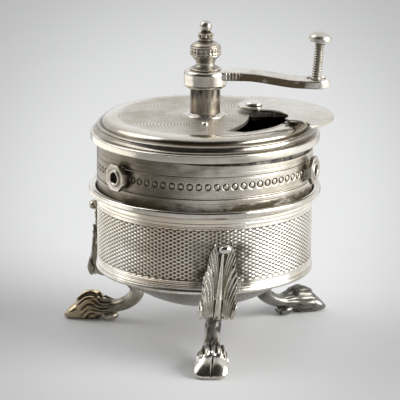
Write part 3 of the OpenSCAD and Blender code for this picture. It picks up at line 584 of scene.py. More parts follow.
# %% [markdown]
# ## From grids of points to meshes
# Every new piece is a grid of points, worked out as whole arrays in millimetres: the rows follow a profile and
# the columns go round. A lathe shape is the plainest case. The same grid gives the faces and the hollow attribute.

# %% Curves
TURN = 2 * np.pi


def glide(x, xs, ys):
    """A smooth curve through the points (xs, ys), read at x: cubics whose slopes are the mean slopes there."""
    x, xs, ys = (np.asarray(values, float) for values in (x, xs, ys))
    slope = np.gradient(ys, xs)
    k = np.clip(np.searchsorted(xs, x) - 1, 0, len(xs) - 2)
    step = xs[k + 1] - xs[k]
    t = np.clip((x - xs[k]) / step, 0, 1)
    return (ys[k] * (1 + 2 * t) * (1 - t) ** 2 + slope[k] * step * t * (1 - t) ** 2
            + ys[k + 1] * t * t * (3 - 2 * t) + slope[k + 1] * step * t * t * (t - 1))


def ease(x, low, high):
    """0 below low, 1 above high, and 3 t^2 - 2 t^3 between them."""
    t = np.clip((np.asarray(x, float) - low) / (high - low), 0, 1)
    return t * t * (3 - 2 * t)


def band(x, low, high, soft):
    """1 between low and high, easing to 0 within a soft margin at each end."""
    return ease(x, low, low + soft) * (1 - ease(x, high - soft, high))


def bell(x, centre, width):
    """1 at the centre, falling off as exp of minus the square of the distance in widths."""
    return np.exp(-(((np.asarray(x, float) - centre) / width) ** 2))


def arc(centre, radii, start, end, steps):
    """Points of an ellipse about centre, from one angle in degrees to another."""
    a = np.radians(np.linspace(start, end, steps))
    return np.stack([centre[0] + radii[0] * np.cos(a), centre[1] + radii[1] * np.sin(a)], 1)


def rounded(corners, reach, steps=6):
    """A closed outline whose corners give way to parabolas that start at the given reach from them."""
    corners = np.asarray(corners, float)
    sides = [np.roll(corners, k, axis=0) - corners for k in (1, -1)]
    lengths = [np.linalg.norm(side, axis=1) for side in sides]
    reach = np.minimum(reach, 0.49 * np.minimum(*lengths))
    start, end = (corners + side * (reach / length)[:, None] for side, length in zip(sides, lengths))
    t = np.linspace(0, 1, steps)[None, :, None]
    curve = (1 - t) ** 2 * start[:, None] + 2 * t * (1 - t) * corners[:, None] + t * t * end[:, None]
    return curve.reshape(-1, 2)


def filled(outline, spacing):
    """The closed outline with more points on its long sides, none further apart than the spacing."""
    outline = np.vstack([outline, outline[:1]])
    length = np.concatenate([[0], np.cumsum(np.linalg.norm(np.diff(outline, axis=0), axis=1))])
    at = np.union1d(length, np.arange(0, length[-1], spacing))
    return np.stack([np.interp(at, length, outline[:, k]) for k in (0, 1)], 1)[:-1]


def angles(columns):
    """Even steps of a turn, as a row."""
    return np.linspace(0, TURN, columns, endpoint=False)[None, :]


def lathe(outline, columns, relief=None):
    """Carries an outline of (r, z) round the axis: the point at angle a is (r cos a, r sin a, z). relief(a, r, z)
    is added to r."""
    a = angles(columns)
    r, z = outline[:, :1], outline[:, 1:]
    if relief:
        r = r + relief(a, r, z)
    return points_of(r * np.cos(a), r * np.sin(a), z)


def spin(grid, degrees):
    """Points turned about the z axis."""
    c, s = np.cos(np.radians(degrees)), np.sin(np.radians(degrees))
    return np.asarray(grid) @ np.array([[c, s, 0], [-s, c, 0], [0, 0, 1]])


def cap(row):
    """A row of points gathered at their mean, which closes the end of a tube."""
    return np.broadcast_to(row.mean(0), (1,) + row.shape)


print("a rounded square has", len(rounded([(0, 0), (1, 0), (1, 1), (0, 1)], 0.2)), "points")

# %% Shells and pieces
def neighbour_mean(grid, reach, axis, wraps):
    """The mean of the points within reach along one axis: a running sum, less itself one span back."""
    pad = [(0, 0)] * grid.ndim
    pad[axis] = (reach + 1, reach)
    total = np.cumsum(np.pad(grid, pad, mode="wrap" if wraps else "edge"), axis=axis)
    size, span = grid.shape[axis], 2 * reach + 1
    return (np.take(total, range(span, span + size), axis) - np.take(total, range(size), axis)) / span


def shell(grid, wraps=(True, True), reach=(3, 3), depth=0.12, dirt=0):
    """Points, quads and hollowness of a closed surface. The quads are turned outwards, by the sign of the volume, the
    sum of a . (b x c). A point's hollowness is how far the mean of its neighbours stands outside it, in depths, plus
    dirt."""
    rows, columns = grid.shape[:2]
    r = np.arange(rows if wraps[0] else rows - 1)[:, None]
    c = np.arange(columns if wraps[1] else columns - 1)[None, :]
    below, beside = (r + 1) % rows, (c + 1) % columns
    corners = (r * columns + c, r * columns + beside, below * columns + beside, below * columns + c)
    quads = np.stack(np.broadcast_arrays(*corners), -1).reshape(-1, 4)
    points = grid.reshape(-1, 3)
    p = [points[quads[:, k]] for k in range(4)]
    volume = (p[0] * (np.cross(p[1], p[2]) + np.cross(p[2], p[3]))).sum()
    normal = np.cross(np.gradient(grid, axis=1), np.gradient(grid, axis=0)) * np.sign(volume)
    normal = normal / np.maximum(np.linalg.norm(normal, axis=-1, keepdims=True), 1e-12)
    mean = neighbour_mean(neighbour_mean(grid, reach[0], 0, wraps[0]), reach[1], 1, wraps[1])
    hollow = np.clip(((mean - grid) * normal).sum(-1) / depth + dirt, -1, 1)
    return points, quads if volume > 0 else quads[:, ::-1], hollow.reshape(-1)


def joined(shells):
    """Several shells as one list of points, so that they can share corners."""
    starts = np.cumsum([0] + [len(points) for points, _, _ in shells])
    quads = np.concatenate([faces + start for (_, faces, _), start in zip(shells, starts)])
    return np.concatenate([s[0] for s in shells]), quads, np.concatenate([s[2] for s in shells])


def replace_node(made, node, body):
    """Puts an object in the scene in place of a solid, to ride on a body."""
    scene.collection.objects.link(made)
    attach(made, body)
    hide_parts(node)


def piece(node, craft, body, material, shells, crease=38):
    """One mesh from several shells, named after its node and the craft that made it. Corners of a shell at one place
    are merged, which closes seams and poles. Quads that collapse there become triangles, and walls that then lie on
    each other are dropped."""
    name = node + "_" + craft
    points, quads, hollow = joined(shells)
    owner = np.repeat(np.arange(len(shells)), [len(s[0]) for s in shells])
    keys = np.column_stack([np.round(points * 1e4), owner]).astype(np.int64)
    first, index = np.unique(keys, axis=0, return_index=True, return_inverse=True)[1:]
    quads = index.reshape(-1)[quads]
    once = np.unique(np.sort(quads, axis=1), axis=0, return_inverse=True, return_counts=True)
    quads = quads[once[2][once[1].reshape(-1)] == 1]
    keep = quads != np.roll(quads, -1, axis=1)
    keep &= keep.sum(1, keepdims=True) > 2
    sizes = keep.sum(1)
    sizes = sizes[sizes > 0]
    mesh = bpy.data.meshes.new(name)
    mesh.vertices.add(len(first))
    mesh.vertices.foreach_set("co", (points[first] * MM).astype(np.float32).ravel())
    mesh.loops.add(int(sizes.sum()))
    mesh.loops.foreach_set("vertex_index", quads[keep].astype(np.int32))
    mesh.polygons.add(len(sizes))
    mesh.polygons.foreach_set("loop_start", (np.cumsum(sizes) - sizes).astype(np.int32))
    mesh.polygons.foreach_set("use_smooth", np.ones(len(sizes), bool))
    layer = mesh.attributes.new("hollow", "FLOAT", "POINT")
    layer.data.foreach_set("value", hollow[first].astype(np.float32))
    mesh.update(calc_edges=True)
    mesh.validate()
    mesh.set_sharp_from_angle(angle=np.radians(crease))
    mesh.materials.append(material)
    replace_node(bpy.data.objects.new(name, mesh), node, body)
    print(name, "has", int((sizes - 2).sum()), "triangles")


def turned(node, body, material, corners, bend, spacing, columns, reach=3, depth=0.1):
    """A ring turned from a closed profile, whose corners are rounded by the bend."""
    grid = lathe(filled(rounded(corners, bend), spacing), columns)
    piece(node, "turned", body, material, [shell(grid, reach=(reach, 1), depth=depth)])


small_ring = lathe(np.array([(2, 0), (3, 0), (3, 1), (2, 1)]), 8)
print("a ring of 4 rows and 8 columns has", len(shell(small_ring)[1]), "quads")

# %% [markdown]
# ## Receiver
# The lower drum is rolled from sheet and cut on a rose engine: staggered grains like barleycorns all the way
# round, between engraved lines. A bump map would lose the grains at the drum's edge, so each one is real: the
# product of a wave round the drum and a wave up it.

# %% Receiver drum
DRUM_R = 30.0
DRUM_IN_R = 29.2
GRAIN_PAIRS, PAIR_COLUMNS = 86, 9
GRAIN_RISE = 1.06
GRAIN_DEPTH, CREST_POWER = 0.30, 1.9
GRAIN_BAND = (23.7, 38.2, 0.2)
RECEIVER_LINES = [22.35, 22.9, 23.4, 38.5, 38.95, 39.9]
LINE_DEPTH, LINE_WIDTH = 0.14, 0.09


def rolled_drum(rows, middle, columns, relief):
    """A sheet drum: an outer wall with relief at the heights of the rows, and a plain wall inside it."""
    wall = np.stack([np.full(len(rows), DRUM_R), rows], 1)
    inside = [(DRUM_IN_R, z) for z in (rows[-1], middle, rows[0])]
    return lathe(np.vstack([wall, inside]), columns, relief)


def grains(a, z):
    """Half of 1 + cos(86 a) cos(2 pi z / 1.06), to a power that narrows the crests: 1 on a grain, 0 between."""
    return (0.5 + 0.5 * np.cos(GRAIN_PAIRS * a) * np.cos(TURN * z / GRAIN_RISE)) ** CREST_POWER


def receiver_relief(a, r, z):
    """The sheet is cut away round the grains, and along the border lines."""
    wall = ease(r, DRUM_IN_R, DRUM_R)
    lines = sum(bell(z, at, LINE_WIDTH) for at in RECEIVER_LINES)
    return -wall * (GRAIN_DEPTH * band(z, *GRAIN_BAND) * (1 - grains(a, z)) + LINE_DEPTH * lines)


# Rows lie closest where lines are cut
rows = np.concatenate([np.linspace(22.0, 23.7, 16), np.linspace(23.8, 38.1, 80), np.linspace(38.2, 41.0, 20)])
receiver_grid = rolled_drum(rows, 31.5, GRAIN_PAIRS * PAIR_COLUMNS, receiver_relief)
x, y, z = np.moveaxis(receiver_grid, -1, 0)
cut_dirt = band(z, *GRAIN_BAND) * (0.55 - 0.8 * grains(np.arctan2(y, x), z))
piece("receiver_drum", "engraved", "receiver", engraved_silver,
      [shell(receiver_grid, reach=(3, 4), depth=0.16, dirt=cut_dirt)])

# %% [markdown]
# The rim, the base ring and the bowl are plain turned shapes. Their profiles come from corners that are rounded, so
# that each edge catches a line of light.

# %% Rim, base ring and bowl
RIM_CORNERS = [
    (29.2, 41.0), (30.05, 41.0), (30.4, 41.2), (31.0, 41.75), (31.95, 41.9), (32.25, 42.15), (32.3, 43.1),
    (32.05, 43.5), (31.7, 43.6), (31.2, 43.35), (30.7, 43.55), (30.22, 43.3), (30.2, 42.0), (29.2, 42.0)]
BASE_CORNERS = [
    (26.58, 20.1), (29.0, 20.1), (29.3, 20.25), (29.6, 20.1), (30.25, 20.15), (30.4, 20.8), (30.15, 21.35),
    (29.95, 21.5), (30.2, 21.7), (30.1, 22.0), (26.58, 22.0)]
turned("receiver_rim", "receiver", rim_silver, RIM_CORNERS, 0.22, 0.2, 360)
turned("base_ring", "receiver", plain_silver, BASE_CORNERS, 0.3, 0.2, 360)

BOWL_R, BOWL_DEPTH, BASE_Z, SHEET = 26.55, 10.7, 20.1, 0.8
sphere_r = (BOWL_R ** 2 + BOWL_DEPTH ** 2) / (2 * BOWL_DEPTH)
sphere_z = BASE_Z - BOWL_DEPTH + sphere_r
bowl_angle = np.degrees(np.arcsin(BOWL_R / sphere_r))
outer = arc((0, sphere_z), (sphere_r, sphere_r), -90, -90 + bowl_angle, 60)
inner = arc((0, sphere_z), (sphere_r - SHEET, sphere_r - SHEET), -90 + bowl_angle - 0.6, -90, 60)
flange = np.array([(BOWL_R, 22.03), (29.17, 22.03), (29.17, 22.83), (BOWL_R - SHEET, 22.83)])
bowl_outline = np.vstack([outer, flange, inner])
bowl_outline[[0, -1], 0] = 0
piece("receiver_bowl", "spun", "receiver", bowl_silver,
      [shell(lathe(bowl_outline, 240), (False, True), (2, 1))])

# %% [markdown]
# ## Hopper drum
# The upper drum has a row of small rings struck with a punch between engraved lines. The punch presses a round
# groove, so the relief is a bell of the distance from the centre of the nearest ring. The lid sits a little askew on
# the real mill, so the top edge of the drum shows a thin dark gap on the right.

# %% Hopper drum
RING_COUNT, RING_COLUMNS = 77, 12
RING_Z, RING_R = 50.1, 0.78
RING_DEPTH, RING_WIDTH = 0.2, 0.19
# Height and depth of each line
HOPPER_LINES = [(52.75, 0.13), (52.35, 0.06), (54.3, 0.05), (46.6, 0.13), (47.1, 0.06), (45.4, 0.05)]
HOPPER_LINE_WIDTH = 0.1
HOPPER_TOP = 56.8
# The gap's greatest height, where it starts, and its share by turn
GAP_MM, GAP_FROM = 2.1, 53.0
GAP_TURNS = ([-180, -125, -98, -70, -40, -10, 60, 130, 180], [0, 0, 0.42, 0.62, 0.85, 1, 1, 0, 0])


def hopper_relief(a, r, z):
    """Rings: a round groove at a set distance from each ring's centre. Lines: round grooves at set heights."""
    wall = ease(r, DRUM_IN_R, DRUM_R)
    step = TURN / RING_COUNT
    along = ((a / step) % 1 - 0.5) * step * DRUM_R
    rings = bell(np.hypot(along, z - RING_Z), RING_R, RING_WIDTH)
    lines = sum(depth * bell(z, at, HOPPER_LINE_WIDTH) for at, depth in HOPPER_LINES)
    return -wall * (RING_DEPTH * rings + lines)


rows = np.concatenate([np.linspace(42.05, 45.2, 10), np.linspace(45.3, 47.4, 18), np.linspace(47.6, 48.6, 4),
                       np.linspace(48.75, 51.45, 22), np.linspace(51.6, 54.5, 22),
                       np.linspace(54.7, HOPPER_TOP, 8)])
hopper_grid = rolled_drum(rows, 49.0, RING_COUNT * RING_COLUMNS, hopper_relief)
turn = np.degrees(np.arctan2(hopper_grid[..., 1], hopper_grid[..., 0]))
gap = glide(turn, *GAP_TURNS)
hopper_grid[..., 2] -= GAP_MM * gap * ease(hopper_grid[..., 2], GAP_FROM, HOPPER_TOP)
piece("hopper_drum", "stamped", "mill_head", drum_silver,
      [shell(hopper_grid, reach=(2, 3), depth=0.055)])

# %% [markdown]
# ## Bosses
# Three bosses carry the screws of the mill frame. The head is an octagon with a raised ring round the bore. Its rows
# run from the bore outwards, and each row is a mix of a circle and an octagon.

# %% Bosses
BOSS_Z = 50.2
BOSS_ROWS = np.array([
    # radius, distance from the axis of the mill, share of the octagon
    (1.45, 29.4, 0), (1.45, 31.9, 0), (1.5, 32.3, 0), (1.68, 32.48, 0), (1.9, 32.5, 0), (2.15, 32.42, 0),
    (2.35, 32.22, 0), (2.5, 32.16, 0.1), (2.9, 32.2, 0.5), (3.2, 32.24, 0.9), (3.5, 32.26, 1), (3.6, 32.2, 1),
    (3.65, 32.05, 1), (3.65, 31.5, 1), (3.65, 31.15, 1), (3.58, 31.03, 1), (3.4, 31.0, 1), (3.0, 31.0, 0.3),
    (2.9, 30.9, 0), (2.9, 30.4, 0), (2.9, 29.4, 0)])
BOSSES = [("boss_right", -27), ("boss_back", 93), ("boss_left", 213)]


def boss_grid():
    """Rings of points about the x axis. An octagon's radius at angle f is its apothem over cos(f), with f folded
    into one eighth of a turn."""
    at = np.linspace(0, len(BOSS_ROWS) - 1, 61)
    radius, out, share = (np.interp(at, np.arange(len(BOSS_ROWS)), column)[:, None] for column in BOSS_ROWS.T)
    a = angles(128)
    octagon = 1 / np.cos((a + TURN / 16) % (TURN / 8) - TURN / 16)
    ring = radius * (1 + share * (octagon - 1))
    return points_of(out, ring * np.cos(a), BOSS_Z + ring * np.sin(a))


for node, degrees in BOSSES:
    piece(node, "turned", "mill_head", finial_silver, [shell(spin(boss_grid(), degrees), reach=(4, 2))],
          crease=30)

# %% [markdown]
# ## Lid
# The lid is one spun sheet: a flat top with engine turning, a shoulder, a ridge, a hollow moulding and a rounded
# rim. The fill opening is a crescent. Seen from the axis, each direction crosses it once, between an inner and an
# outer edge, so two polar grids meet along that line, one inside and one outside. Where there is no opening they
# share their edge.

# %% Edges of the fill opening
FILL_TURN = -7.5
# The round outer edge, the circle of the inner edge, the straight front and back edges, and a notch
OPENING_R = 23.3
BULGE_R, BULGE_AT = 32.1, 20.0
FRONT_TURN, FRONT_AT = np.radians(14.3), 17.44
BACK_Y = 1.70
BACK_CORNER = np.radians((3.8, 8.2))
NOTCH_AT, NOTCH_HALF, NOTCH_R = np.radians(-24), 0.55 / OPENING_R, 24.6


def bulge_edge(phi):
    """Where a ray at angle phi leaves the bulging inner edge, a circle about a point behind the axis."""
    return np.sqrt(BULGE_R ** 2 - (BULGE_AT * np.sin(phi)) ** 2) - BULGE_AT * np.cos(phi)


def outer_edge(phi):
    """The nearest of the round outer edge, the straight front edge and the straight back edge along a ray."""
    front = FRONT_AT / np.maximum(-np.sin(phi + FRONT_TURN), 1e-6)
    back = BACK_Y / np.maximum(np.sin(phi), 1e-6)
    edge = np.minimum(OPENING_R, np.minimum(front, back))
    return np.where(np.abs(phi - NOTCH_AT) < NOTCH_HALF, NOTCH_R, edge)


search = np.radians(np.linspace(-90, 20, 22001))
open_part = search[outer_edge(search) > bulge_edge(search)]
tip, heel = open_part[0], open_part[-1]
notch_sides = NOTCH_AT + NOTCH_HALF * np.array([-1.03, -0.97, 0.97, 1.03])
phi = np.union1d(np.linspace(tip, tip + TURN, 480, endpoint=False), np.linspace(tip, heel, 90))
phi = np.union1d(phi, np.concatenate([notch_sides, np.linspace(*BACK_CORNER, 16)]))
phi = phi[phi < tip + TURN - 1e-6]
is_open = phi <= heel
around = ease(phi, heel, tip + TURN)
closed_line = bulge_edge(heel) + (bulge_edge(tip) - bulge_edge(heel)) * around
inner_line = np.where(is_open, bulge_edge(phi), closed_line)
outer_line = np.where(is_open, np.maximum(outer_edge(phi), bulge_edge(phi)), closed_line)
outer_line[0] = inner_line[0]
outer_line[phi == heel] = inner_line[phi == heel]
print("opening from", round(np.degrees(tip), 1), "to", round(np.degrees(heel), 1), "degrees")

# %% Lid
LID_TOP, LID_UNDER = 63.1, 62.2
SLEEVE_HOLE = 3.55
FLAT_R = 25.8


def lid_rows(r, height):
    """Polar rows at distances r, turned to the fill opening's side, at one height."""
    a = phi[None, :] + np.radians(FILL_TURN)
    return points_of(r * np.cos(a), r * np.sin(a), height)


def border_lines(r):
    """Two engraved lines round the engine turning."""
    return -0.07 * bell(r, 23.9, 0.12) - 0.05 * bell(r, 24.4, 0.1)


# Shoulder, ridge, hollow, top and foot of the rim, and the skirt inside the drum
moulding = np.vstack([
    arc((FLAT_R, 61.1), (3.0, 2.0), 88, 8, 14),
    arc((28.8, 60.75), (1.1, 0.38), 80, -60, 9),
    arc((30.9, 60.7), (-1.25, -1.55), 12, 84, 12),
    arc((31.3, 58.7), (0.5, 0.4), 88, 6, 8),
    arc((31.35, 57.3), (0.45, 0.5), 4, -88, 8),
    [(29.9, 56.8), (29.0, 56.75), (29.0, 55.2), (29.0, 53.8)]])
under = np.array([(28.1, 53.8), (28.1, 57.5), (27.7, 59.4), (25.2, 62.0)])
s = np.linspace(0, 1, 62)[:, None]
inner_r = SLEEVE_HOLE + (inner_line[None, :] - SLEEVE_HOLE) * s
outer_r = outer_line[None, :] + (FLAT_R - outer_line[None, :]) * s[::2] / s[::2][-1]
inner_top = lid_rows(inner_r, LID_TOP + border_lines(inner_r))
outer_top = lid_rows(outer_r, LID_TOP + border_lines(outer_r))
side = lid_rows(moulding[:, :1], moulding[:, 1:])
back = lid_rows(under[:, :1], under[:, 1:])
inner_under = lid_rows(inner_r[[-1, 30, 0]], LID_UNDER)
outer_under = lid_rows(outer_r[[-4, 0]], LID_UNDER)
inner_shell = shell(np.concatenate([inner_top, inner_under]), reach=(0, 2), depth=0.045)
outer_shell = shell(np.concatenate([outer_top, side, back, outer_under]), reach=(2, 2), depth=0.07)
outer_shell[2].reshape(-1, len(phi))[:3] = 0
piece("lid", "spun", "mill_head", lid_silver, [joined([inner_shell, outer_shell])], crease=50)

# %% [markdown]
# ## Neck, hub and finial
# These are small turned pieces. The finial is the adjusting nut, so its broad band is cut crosswise for the
# fingers, and the small flange above it is notched.

# %% Neck and hub
SLEEVE_CORNERS = [(2.55, 59.6), (3.5, 59.6), (3.5, 63.1), (4.15, 63.1), (4.15, 70.9), (2.55, 70.9)]
COLLAR_CORNERS = [(4.18, 63.1), (5.7, 63.1), (5.6, 63.45), (4.9, 63.75), (4.45, 64.0), (4.18, 64.0)]
HUB_CORNERS = [(2.45, 70.95), (5.0, 70.95), (5.75, 71.4), (5.95, 72.1), (5.95, 75.1), (5.7, 75.7), (5.2, 76.0),
               (2.45, 76.0)]
turned("neck_sleeve", "mill_head", sleeve_silver, SLEEVE_CORNERS, 0.15, 0.3, 128, 2, 0.12)
turned("sleeve_collar", "mill_head", plain_silver, COLLAR_CORNERS, 0.25, 0.1, 160)
turned("crank_hub", "crank", plain_silver, HUB_CORNERS, 0.5, 0.15, 180, 4)

# %% Finial nut
FINIAL_Z = 76.05
BALL_R, BALL_Z = 1.7, 11.9
STEM_H = 10.5
CUTS, CUT_SLOPE, CUT_DEPTH = 11, 2.7, 0.22
CUT_BAND = (4.15, 6.3, 0.25)
FLANGE_CUTS, FLANGE_DEPTH = 13, 0.28
FINIAL_STATIONS = np.array([
    # height above the hub, radius
    (0, 4.15), (0.1, 4.3), (0.3, 4.3), (0.45, 4.1), (0.6, 3.6), (0.9, 3.05), (1.2, 2.75), (1.45, 2.6), (2.0, 2.6),
    (2.5, 2.85), (3.1, 3.28), (3.4, 3.65), (3.55, 3.72), (3.7, 3.9), (3.95, 4.2), (4.05, 4.27), (6.35, 4.27),
    (6.5, 4.2), (6.6, 3.98), (6.85, 3.92), (7.1, 3.7), (7.45, 3.28), (7.7, 2.5), (7.9, 2.0), (8.1, 1.85),
    (8.5, 1.85), (8.9, 1.98), (9.05, 2.25), (9.9, 2.3), (10.05, 2.0), (10.25, 1.5), (STEM_H, 1.2)])


def finial_relief(a, r, z):
    """Crossed cuts on the broad band, the product of two leaning waves, and notches on the small flange."""
    h = z - FINIAL_Z
    crossed = 0.5 - 0.5 * np.cos(CUTS * a + CUT_SLOPE * h) * np.cos(CUTS * a - CUT_SLOPE * h)
    flange = ease(h, 9.05, 9.2) * (1 - ease(h, 9.85, 9.95))
    notches = FLANGE_DEPTH * flange * (0.5 + 0.5 * np.cos(FLANGE_CUTS * a))
    return -CUT_DEPTH * band(h, *CUT_BAND) * crossed - notches


h = np.linspace(0, STEM_H, 180)
stem = np.stack([np.interp(h, *FINIAL_STATIONS.T), FINIAL_Z + h], 1)
ball = arc((0, FINIAL_Z + BALL_Z), (BALL_R, BALL_R), -48, 90, 30)
finial_outline = np.vstack([[(0, FINIAL_Z)], stem, ball])
finial_outline[-1, 0] = 0
piece("finial_nut", "turned", "finial", finial_silver,
      [shell(lathe(finial_outline, 192, finial_relief), (False, True), (5, 3), 0.08)])

# %% [markdown]
# ## Crank arm and handle post
# The arm is a flat bar that dips in a long bend and ends in a round eye. Its edge is fluted near the hub. A rounded
# rectangle is carried along the bar: the exponent of a superellipse squares the section off. The handle is a long
# screw, so its post has a real helix: the height of a point in the thread depends on its angle.

# %% Crank arm
CRANK_TURN = -12
ARM_TOP, ARM_DROP, ARM_STEP = 76.0, 1.75, 0.05
ARM_HALF_T, ARM_HALF_W = 1.3, 3.5
POST_AT, EYE_R = 30.5, 3.9
FLUTE_PITCH, FLUTE_DEPTH, FLUTES = 0.9, 0.26, (5.6, 10.8, 0.4)
RECESS_R, RECESS = 2.7, 0.4
SQUARENESS = 6.0


def squared(wave):
    """A superellipse's sine or cosine: the wave to the power 2 / squareness, with its sign kept."""
    return np.sign(wave) * np.abs(wave) ** (2 / SQUARENESS)


x = np.concatenate([np.linspace(4.6, 14.5, 110), np.linspace(14.7, 27.5, 60),
                    POST_AT - EYE_R + 0.3 + (2 * EYE_R - 0.3) * np.sin(np.linspace(0, np.pi / 2, 60))])[:, None]
f = angles(144)
across, upward = squared(np.cos(f)), squared(np.sin(f))
eye = np.sqrt(np.maximum(EYE_R ** 2 - np.maximum(x - POST_AT, 0) ** 2, 0))
half_w = np.where(x < POST_AT, ARM_HALF_W + (EYE_R - ARM_HALF_W) * ease(x, 26, POST_AT), eye)
flutes = FLUTE_DEPTH * band(x, *FLUTES) * (0.5 + 0.5 * np.cos(TURN * x / FLUTE_PITCH))
y = across * (half_w - flutes * ease(np.abs(across), 0.8, 1) * (1 - ease(np.abs(upward), 0.72, 0.95)))
top = ARM_TOP - ARM_STEP - (ARM_DROP - ARM_STEP) * ease(x, 11, 27)
away = np.hypot(x - POST_AT, y)
z = top - ARM_HALF_T + ARM_HALF_T * upward
z = z - RECESS * (1 - ease(away, RECESS_R - 0.15, RECESS_R + 0.1)) * ease(upward, 0.5, 0.9)
arm_grid = points_of(x, y, z)
arm_grid = spin(np.concatenate([cap(arm_grid[0]), arm_grid]), CRANK_TURN)
piece("crank_arm", "forged", "crank", arm_silver,
      [shell(arm_grid, (False, True), (2, 2), 0.1)], crease=45)

# %% Handle post
POST_FOOT = 73.6
POST_LEAN = np.radians(4.7)
THREAD_PITCH, THREAD_DEPTH = 0.7, 0.36
POST_R = 1.5
THREAD_ENDS = (0.7, 10.6, 0.3)


def post_relief(a, r, z):
    """A thread: the share of a turn at angle a and height z gives a wave between crest and root."""
    inside = band(z, *THREAD_ENDS) * ease(r, 1.2, 1.5) * (1 - ease(r, 1.55, 1.8))
    return -THREAD_DEPTH * inside * (0.5 + 0.5 * np.cos(TURN * z / THREAD_PITCH - a)) ** 0.7


def on_post(grid):
    """Leans a grid outwards, stands it on the end of the arm and turns it with the crank."""
    c, s = np.cos(POST_LEAN), np.sin(POST_LEAN)
    leaning = grid @ np.array([[c, 0, -s], [0, 1, 0], [s, 0, c]])
    return spin(leaning + (POST_AT, 0, POST_FOOT), CRANK_TURN)


h = np.linspace(0.05, 10.9, 190)
shank = np.stack([np.full(len(h), POST_R), h], 1)
tenon = np.array([(0, -1.6), (1.2, -1.6), (1.2, -0.8), (1.2, 0.0)])
head = np.vstack([[(1.7, 10.98), (2.5, 10.98)], arc((2.8, 11.25), (0.3, 0.27), -90, 0, 6),
                  arc((0, 11.9), (3.1, 1.75), 0, 90, 26)])
head[-1, 0] = 0
post_outline = np.vstack([tenon, shank, head])
piece("handle_post", "threaded", "handle", post_silver,
      [shell(on_post(lathe(post_outline, 56, post_relief)), (False, True), (3, 2), 0.08)])

# %% [markdown]
# ## Fill cover and its screw
# The cover is a thin flat leaf of silver. Its outline of arcs is already right in the solid, so a copy of that mesh
# is merged and its edges are bevelled. On the real mill it stands off the lid at its screw and droops to its free
# end, so the copy is lifted and tilted. The two domed heads are turned shapes.

# %% Fill cover
COVER_LIFT = 0.75
COVER_DROOP = np.radians(1.95)
COVER_FOOT = 63.22
PIVOT = spin((13.591, 5.602, 0), FILL_TURN)
FILED_MM = 0.16

cover_mesh = frame["nodes"]["fill_cover"].data.copy()
cover_mesh.name = "fill_cover_filed"
hinge = Vector(PIVOT + (0, 0, COVER_FOOT)) * MM
droop_axis = Vector(spin((0, 1, 0), FILL_TURN))
cover_mesh.transform(Matrix.Translation(hinge + Vector((0, 0, COVER_LIFT * MM)))
                     @ Matrix.Rotation(COVER_DROOP, 4, droop_axis) @ Matrix.Translation(-hinge))
cover_mesh.materials.clear()
cover_mesh.materials.append(cover_silver)
cover = bpy.data.objects.new("fill_cover_filed", cover_mesh)
weld = cover.modifiers.new("weld", "WELD")
weld.merge_threshold = 0.00001
flatten = cover.modifiers.new("flatten", "DECIMATE")
flatten.decimate_type = "DISSOLVE"
flatten.angle_limit = np.radians(2)
file_edges = cover.modifiers.new("file_edges", "BEVEL")
file_edges.width = FILED_MM * MM
file_edges.segments = 3
file_edges.limit_method = "ANGLE"
file_edges.angle_limit = np.radians(50)
replace_node(cover, "fill_cover", "cover")
print("cover edges are filed by", FILED_MM, "mm")

# %% Pivot screw and stop stud
STUD = spin((0, -12, 0), FILL_TURN)


def dome_outline(radius, height, foot, pin_r, pin_foot):
    """Half the section of a domed head on a pin: an ellipse over a short rim, from the pin's foot to the crown."""
    rim = foot + height / 4
    crown = arc((0, rim), (radius, height * 0.75), 0, 90, 18)
    crown[-1, 0] = 0
    return np.vstack([[(0, pin_foot), (pin_r, pin_foot), (pin_r, foot), (radius - 0.06, foot)], crown])


DOMES = [
    # node, place, radius and height of the dome, its foot, radius of the pin, the pin's foot
    ("pivot_screw", PIVOT, 2.35, 1.15, 64.15 + COVER_LIFT, 1.1, 60.3),
    ("stop_stud", STUD, 1.0, 0.9, 63.1, 0.5, 62.2),
]
for node, centre, *sizes in DOMES:
    piece(node, "turned", "mill_head", plain_silver,
          [shell(lathe(dome_outline(*sizes), 64) + centre, (False, True), (3, 1))])

# %% [markdown]
# ## Legs
# Each leg is one casting: an acanthus leaf on the drum with a curled tip, a bent shank under the bowl, and a cloven
# hoof under locks of hair, with a tuft at its heel. The leaf is made of blades that lie on each other, with veins
# that end in spikes, and a midrib between two deep furrows. The shank and hoof are one tube along a path.

# %% Leaf
LEAF_Z = (13.9, 33.2)
BED_HALF_W = ([13.9, 16, 20, 26, 30, 33.2], [2.2, 2.5, 2.5, 2.1, 1.7, 1.1])
LEAF_CREST = ([13.9, 14.8, 16.4, 19, 22, 25.5, 29, 31.3, 33.2], [3.0, 3.9, 4.5, 4.4, 3.9, 3.7, 3.7, 3.8, 3.8])
LEAFLETS = [
    # of the inner, middle and outer veins: y at the foot, y at the tip and height of the tip; then the height of the
    # foot, the number of veins, how ragged the tips are, and the thickness by height
    ((1.15, 2.6, 4.2), (3.5, 4.75, 4.5), (29.9, 24.6, 18.8), 13.9, 6, 0.9,
     ([13.9, 15, 17, 19, 22, 25, 30], [3.0, 3.8, 4.3, 4.2, 3.6, 3.3, 3.5])),
    ((0.5, 1.5, 2.8), (1.9, 3.2, 3.9), (35.0, 32.8, 28.8), 19.0, 5, 1.1,
     ([19, 26, 30, 35], [2.6, 2.8, 2.9, 3.4])),
]


def backed(x, y, z):
    """A leaf's front, closed by a plain back along the drum and by a cap at each end."""
    front = points_of(x, y, z)
    rear = front[:, ::-4].copy()
    on_drum = np.sqrt((DRUM_R - 0.4) ** 2 - rear[..., 1] ** 2) + 0.4 * (1 - ease(rear[..., 2], 20, 22))
    rear[..., 0] = np.minimum(on_drum, rear[..., 0] - 0.3)
    sheet = np.concatenate([front, rear], axis=1)
    return np.concatenate([cap(sheet[0]), sheet, cap(sheet[-1])])


